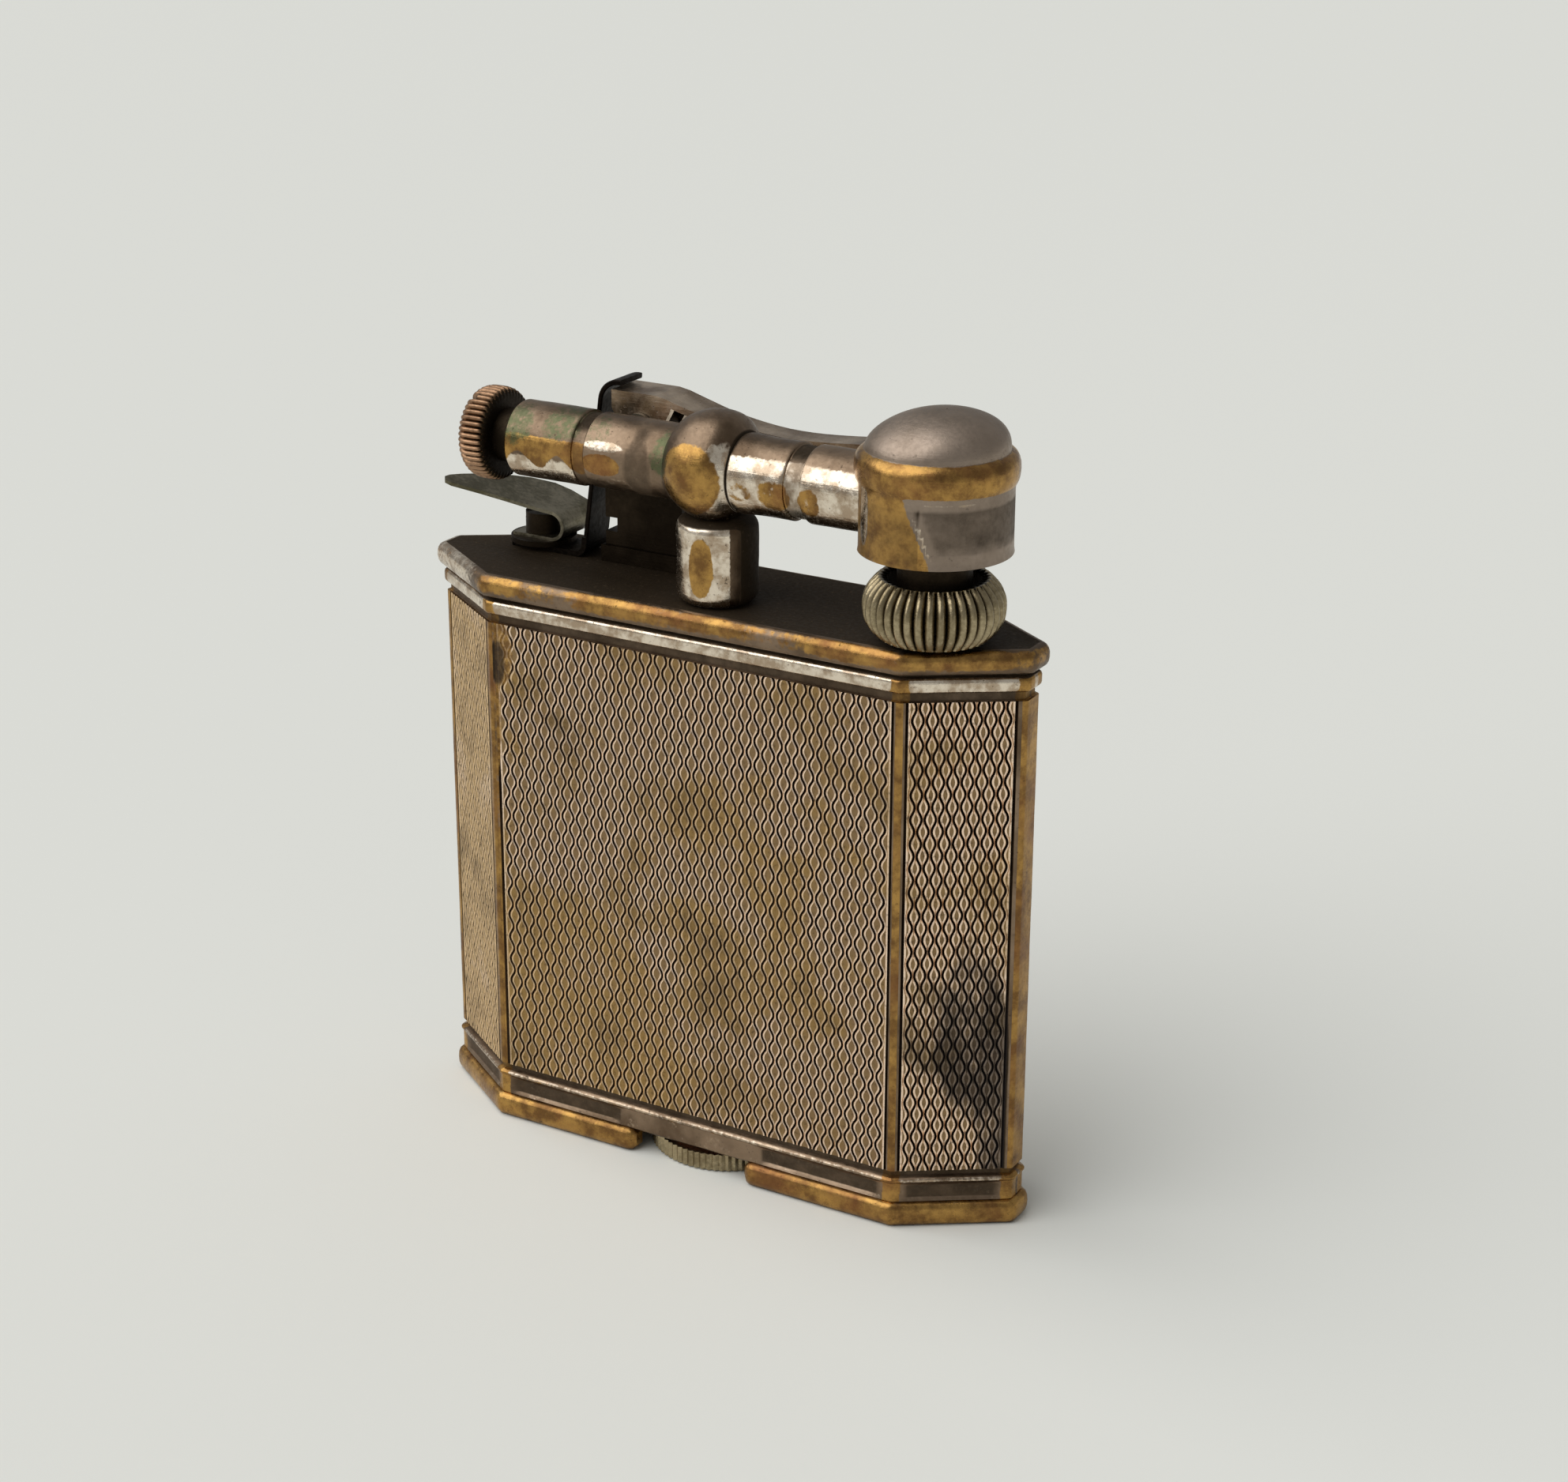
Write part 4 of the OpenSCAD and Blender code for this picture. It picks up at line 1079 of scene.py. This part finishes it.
def make_ball():
    """The neck and the ball, whose centre stands a little above the tube's axis."""
    a, seam = LEFT_TUBE[1], RIGHT_TUBE[0]
    r, ball_r = 2.41, 3.54
    meet = math.degrees(math.asin(2.55 / ball_r))
    sphere = arc(BALL_X, 0, ball_r, 180 - meet, 74, 30)
    start = sphere[0][0]
    outer = [(a, r - 0.06), (a + 0.08, r), (start - 0.35, r), (start - 0.1, r + 0.04)] + sphere
    outer += [(seam - 0.9, 3.31), (seam - 0.7, 3.18), (seam - 0.53, 3.01), (seam - 0.34, 2.82),
              (seam - 0.16, 2.62), (seam - 0.04, 2.5), (seam, 2.36)]

    def raised(angle, along, radius):
        """Radius about the tube's axis of a circle whose centre stands BALL_RISE higher."""
        offset = np.sqrt(radius ** 2 - (BALL_RISE * np.cos(angle)) ** 2) - radius
        offset = offset + BALL_RISE * np.sin(angle)
        return radius + offset * smooth((radius - 2.42) / 0.45) * (along > start - 0.5)

    ball = sleeve("ball_and_neck", outer, a, seam, 160, raised)
    soften(ball, 0.02, 1.8)

    def brass(x, y, z):
        on_ball = 0.95 * spot(x + 0.3 * y, z, BALL_X - 1.7, TUBE_Z - 0.1, 2.1, 2.3) * (y < TUBE_Y)
        on_neck = 0.8 * spot(x, z, -6.7, TUBE_Z - 0.3, 1.5, 0.75) * (y < TUBE_Y)
        return on_ball + on_neck

    def silver(x, y, z):
        bright = marks(x, z - TUBE_Z, (0.8, seam - 0.6, -0.4, 1.0, 2.8), (0.48, BALL_X, -3.2, 2.6, 0.9),
                       (0.6, -6.6, 0.9, 1.7, 0.35), (0.4, -6.2, -1.5, 1.9, 0.5))
        return bright * (y < TUBE_Y + 1)

    def dark(x, y, z):
        # A dark line at the seam, painted shade in the shade spot and on the underside, and a painted
        # dark reflection along the top.
        shade = 0.5 * spot(x, z, -4.0, TUBE_Z - 0.4, 1.1, 2.4)
        shade = shade + 0.6 * smooth((-0.85 - rise(z)) / 0.15) * (x < -2.5)
        return smooth((x - seam + 0.12) / 0.1) + shade + 0.3 * smooth((rise(z) - 0.55) / 0.3)

    def green(x, y, z):
        return marks(x, z - TUBE_Z, (0.6, -2.2, 0.9, 0.9, 1.4), (0.45, -7.2, 1.7, 0.9, 0.8))

    paint(ball, wear=brass, silver=silver, grime=dark, green=green)
    return finish_piece(ball, "case", "worn_brass", "ball_joint")


def make_right_tube():
    a, b = RIGHT_TUBE
    r = TUBE_R
    outer = [(a, r - 0.1), (a + 0.05, r + 0.05), (a + 0.4, r + 0.09), (a + 1.2, r + 0.03), (a + 1.9, r)]
    outer += groove(RIGHT_GROOVE, r) + [(b - 0.2, r), (b, r - 0.2)]
    tube = sleeve("right_sleeve", outer, a, b)
    soften(tube, 0.015, 1.6)

    def silver(x, y, z):
        return 0.85 * smooth((0.85 - rise(z)) / 0.35) * smooth((rise(z) + 0.97) / 0.2)

    def brass(x, y, z):
        worn = marks(x, z - TUBE_Z, (1, RIGHT_GROOVE - 1.3, -0.5, 1.2, 1.1),
                     (1, RIGHT_GROOVE + 1.2, -0.6, 0.9, 1.0), (0.8, a + 0.9, -0.6, 0.9, 0.7))
        return 0.66 * worn * (y < TUBE_Y)

    def dark(x, y, z):
        # Dark at the end by the seam and in the groove; painted shade on the underside and a painted
        # dark reflection along the top.
        ends = 0.9 * smooth((a + 0.1 - x) / 0.08) + 0.4 * (np.abs(x - RIGHT_GROOVE) < 0.55)
        return ends + 0.8 * smooth((-0.9 - rise(z)) / 0.1) + 0.3 * smooth((rise(z) - 0.6) / 0.25)

    paint(tube, silver=silver, wear=brass, grime=dark)
    return finish_piece(tube, "case", "worn_silver", "flint_tube_right")


def make_post():
    """The rounded post, brassy in front and shaded on its right."""
    r, low, high = 2.6, PLATE_TOP, POST_HIGH[2]
    foot = [(z, q) for q, z in arc(r - 0.8, low + 0.8, 0.8, -90, 0, 8)]
    head = [(z, q) for q, z in arc(r - 0.75, high - 0.75, 0.75, 0, 90, 8)]
    outer = [(low, 0)] + foot + head + [(high, 0)]
    centre = (BALL_X, TUBE_Y)
    post = lathe("round_post", refine(outer, 0.35), (*centre, 0), "z", PLATE, 128, closed=False)
    soften(post, 0.03, 1.3)

    def brass(x, y, z):
        return 1.0 * spot(bearing(x, y, centre), z, -84, 41.9, 19, 1.95)

    def silver(x, y, z):
        angle = bearing(x, y, centre)
        return 0.9 * spot(angle, z, -90, 42.2, 90, 5) * smooth((-35 - angle) / 12)

    def dark(x, y, z):
        # Painted dark reflection on the right side, painted shade at the head under the ball and at the
        # foot on the plate.
        shaded = 0.95 * smooth((bearing(x, y, centre) + 32) / 12)
        return shaded + 0.9 * smooth((z - high + 0.45) / 0.2) + 0.5 * smooth((low + 0.3 - z) / 0.2)

    paint(post, wear=brass, silver=silver, grime=dark)
    return finish_piece(post, "case", "worn_silver", "tube_post")


def make_flint_screw():
    """The knurled head with its slot, a short neck and the shank."""
    left = KNOB_LOW[0]
    thick, r, teeth = 2.1, 3.05, 46
    neck_r, shank_r, neck_end = 1.75, 1.34, left + thick + 1.1
    face = [(left + along, q) for along, q in (
        (0, 0), (0, 1.2), (0.01, 2.2), (0.06, 2.5), (0.16, 2.75), (0.34, 2.92), (0.6, 3.02), (0.9, r),
        (1.45, r), (1.8, 3.0), (1.98, 2.88), (thick - 0.03, 2.66), (thick, 2.4), (thick, neck_r))]
    face += [(neck_end, neck_r), (neck_end, shank_r), (KNOB_HIGH[0], shank_r), (KNOB_HIGH[0], 0)]

    def knurl(angle, along, radius):
        fade = smooth((along - left + 0.02) / 0.22) * smooth((left + thick - along) / 0.12)
        fade = fade * (radius > 2.45)
        return radius - 0.20 * fade * (1 - np.abs(np.cos(teeth * angle / 2)))

    screw = lathe("knurled_screw", refine(face, 0.3), (0, TUBE_Y, TUBE_Z), "x",
                  [MATERIALS["copper"], MATERIALS["soot_and_shade"]], teeth * 8, knurl, closed=False, sharp=55)
    tilt = math.radians(-62)
    turn = [[1, 0, 0], [0, math.cos(tilt), -math.sin(tilt)], [0, math.sin(tilt), math.cos(tilt)]]
    centre = np.array([left, TUBE_Y, TUBE_Z])
    cut(screw, bar(centre - (1, 4, 0.3), centre + (0.75, 4, 0.3), turn, centre))
    # The knob's back face, neck and shank take the near-black plate: painted shade on the side turned
    # from the light.
    for polygon in screw.data.polygons:
        if polygon.center.x * 1000 > left + thick - 0.1:
            polygon.material_index = 1

    def gaps(x, y, z):
        """The knurl's hollows, found by their distance from the axis."""
        away = np.hypot(y - TUBE_Y, z - TUBE_Z)
        return smooth((2.98 - away) / 0.12) * (away > 2.7) * (x > left + 0.6)

    paint(screw, gap=gaps)
    return finish_piece(screw, "flint_screw", "copper_brown", "flint_screw")


def make_curled_leaf():
    """The black leaf above its foot: a straight blade that ends in a curl over the arm's heel."""
    low, high = node_box("arm_spring_blade")
    lean, thick, r = math.radians(8), 0.35, 1.45
    cx, cz = HINGE[0] - 1.75, HINGE[2] + 1.3
    top = cz + r * math.sin(lean)
    foot_x = cx - r * math.cos(lean) - (top - low[2]) * math.tan(lean)
    path = [(foot_x, low[2])] + arc(cx, cz, r, 180 - math.degrees(lean), 84, 14)
    path = np.array(refine(path, 0.4))
    ahead = np.gradient(path, axis=0)
    ahead /= np.linalg.norm(ahead, axis=1)[:, None]
    side = np.stack([ahead[:, 1], -ahead[:, 0]], 1)
    front, back, e = low[1] + 0.02, high[1] - 0.02, 0.07
    half = thick / 2
    outline = [(-half, front + e), (-half + e, front), (half - e, front), (half, front + e)]
    outline += [(half, y) for y in np.linspace(front + 0.5, back - 0.5, 5)]
    outline += [(half, back - e), (half - e, back), (-half + e, back), (-half, back - e)]
    outline += [(-half, y) for y in np.linspace(back - 0.5, front + 0.5, 5)]
    points = [(p[0] + s[0] * o, y, p[1] + s[1] * o) for p, s in zip(path, side) for o, y in outline]
    faces = quads(len(path), len(outline), close_columns=True) + end_faces(len(outline), len(points))
    leaf = build("curled_leaf", points, faces, [MATERIALS["black"]])
    return finish_piece(leaf, "arm_spring", "black_steel", "arm_spring_blade")


# ---- CAD nodes that keep their shape ----

def dress_cad_nodes():
    """Gives each CAD node that stays a material of its own."""
    dressed = {"brass": "filler_bush fuel_tank burner_tube wheel_collar post_nut flint_plunger "
                        "cap_rivet_a cap_rivet_b",
               "steel": "flint_wheel flint_spring arm_pin",
               # Near-black plate: soot on the burner bush, painted shade on the bracket, washer and
               # screw in the dark behind the tube.
               "soot_and_shade": "burner_bush arm_bracket spring_washer spring_screw",
               "cotton": "cotton_wadding wick", "nickel": "filler_screw", "fibre": "filler_washer",
               "flint": "flint", "arm_plate": "lift_arm", "black": "arm_spring_foot",
               "leaf": "detent_spring"}
    for finish, names in dressed.items():
        for name in names.split():
            mesh = frame["nodes"][name].data
            mesh.materials.clear()
            mesh.materials.append(MATERIALS[finish])


# ---- stage, light and camera ----

def make_stage():
    points = [(-2500, -2500, 0), (2500, -2500, 0), (2500, 2500, 0), (-2500, 2500, 0)]
    m = Metal("floor", 0.0)
    m.finish((0.80, 0.805, 0.76), 0.9)
    floor = build("floor", points, [(0, 1, 2, 3)], [m.material])
    world = bpy.data.worlds.new("studio")
    bpy.context.scene.world = world
    world.use_nodes = True
    background = world.node_tree.nodes["Background"].inputs
    background["Color"].default_value = (0.95, 0.96, 0.95, 1)
    background["Strength"].default_value = 0.34


def make_lights():
    """One very broad soft light from the upper front left."""
    data = bpy.data.lights.new("soft_light", "SUN")
    data.angle = math.radians(75)
    data.energy = 2.3
    light = add_object("soft_light", data)
    light.rotation_euler = Vector((0.5, 0.4, -0.75)).to_track_quat("-Z", "Y").to_euler()


def make_camera():
    """The viewpoint: 30 degrees to the right of the front and 21 above level."""
    data = bpy.data.cameras.new("camera")
    data.sensor_width = 36.0
    data.lens = 68.7
    data.clip_start = 0.01
    camera = add_object("camera", data)
    azimuth, elevation, roll = math.radians(30.189), math.radians(20.635), math.radians(0.237)
    turn = Matrix.Rotation(azimuth, 4, "Z") @ Matrix.Rotation(math.pi / 2 - elevation, 4, "X")
    turn = turn @ Matrix.Rotation(roll, 4, "Z")
    camera.matrix_world = Matrix.Translation((0.09470, -0.15565, 0.09744)) @ turn
    bpy.context.scene.camera = camera


make_case_body()
make_panels()
make_edge_strips()
make_top_plate()
make_base()
make_thumb_wheel()
make_cap()
make_left_tube()
make_ball()
make_right_tube()
make_post()
make_flint_screw()
make_curled_leaf()
dress_cad_nodes()
make_stage()
make_lights()
make_camera()
bpy.context.scene.view_settings.view_transform = "Standard"
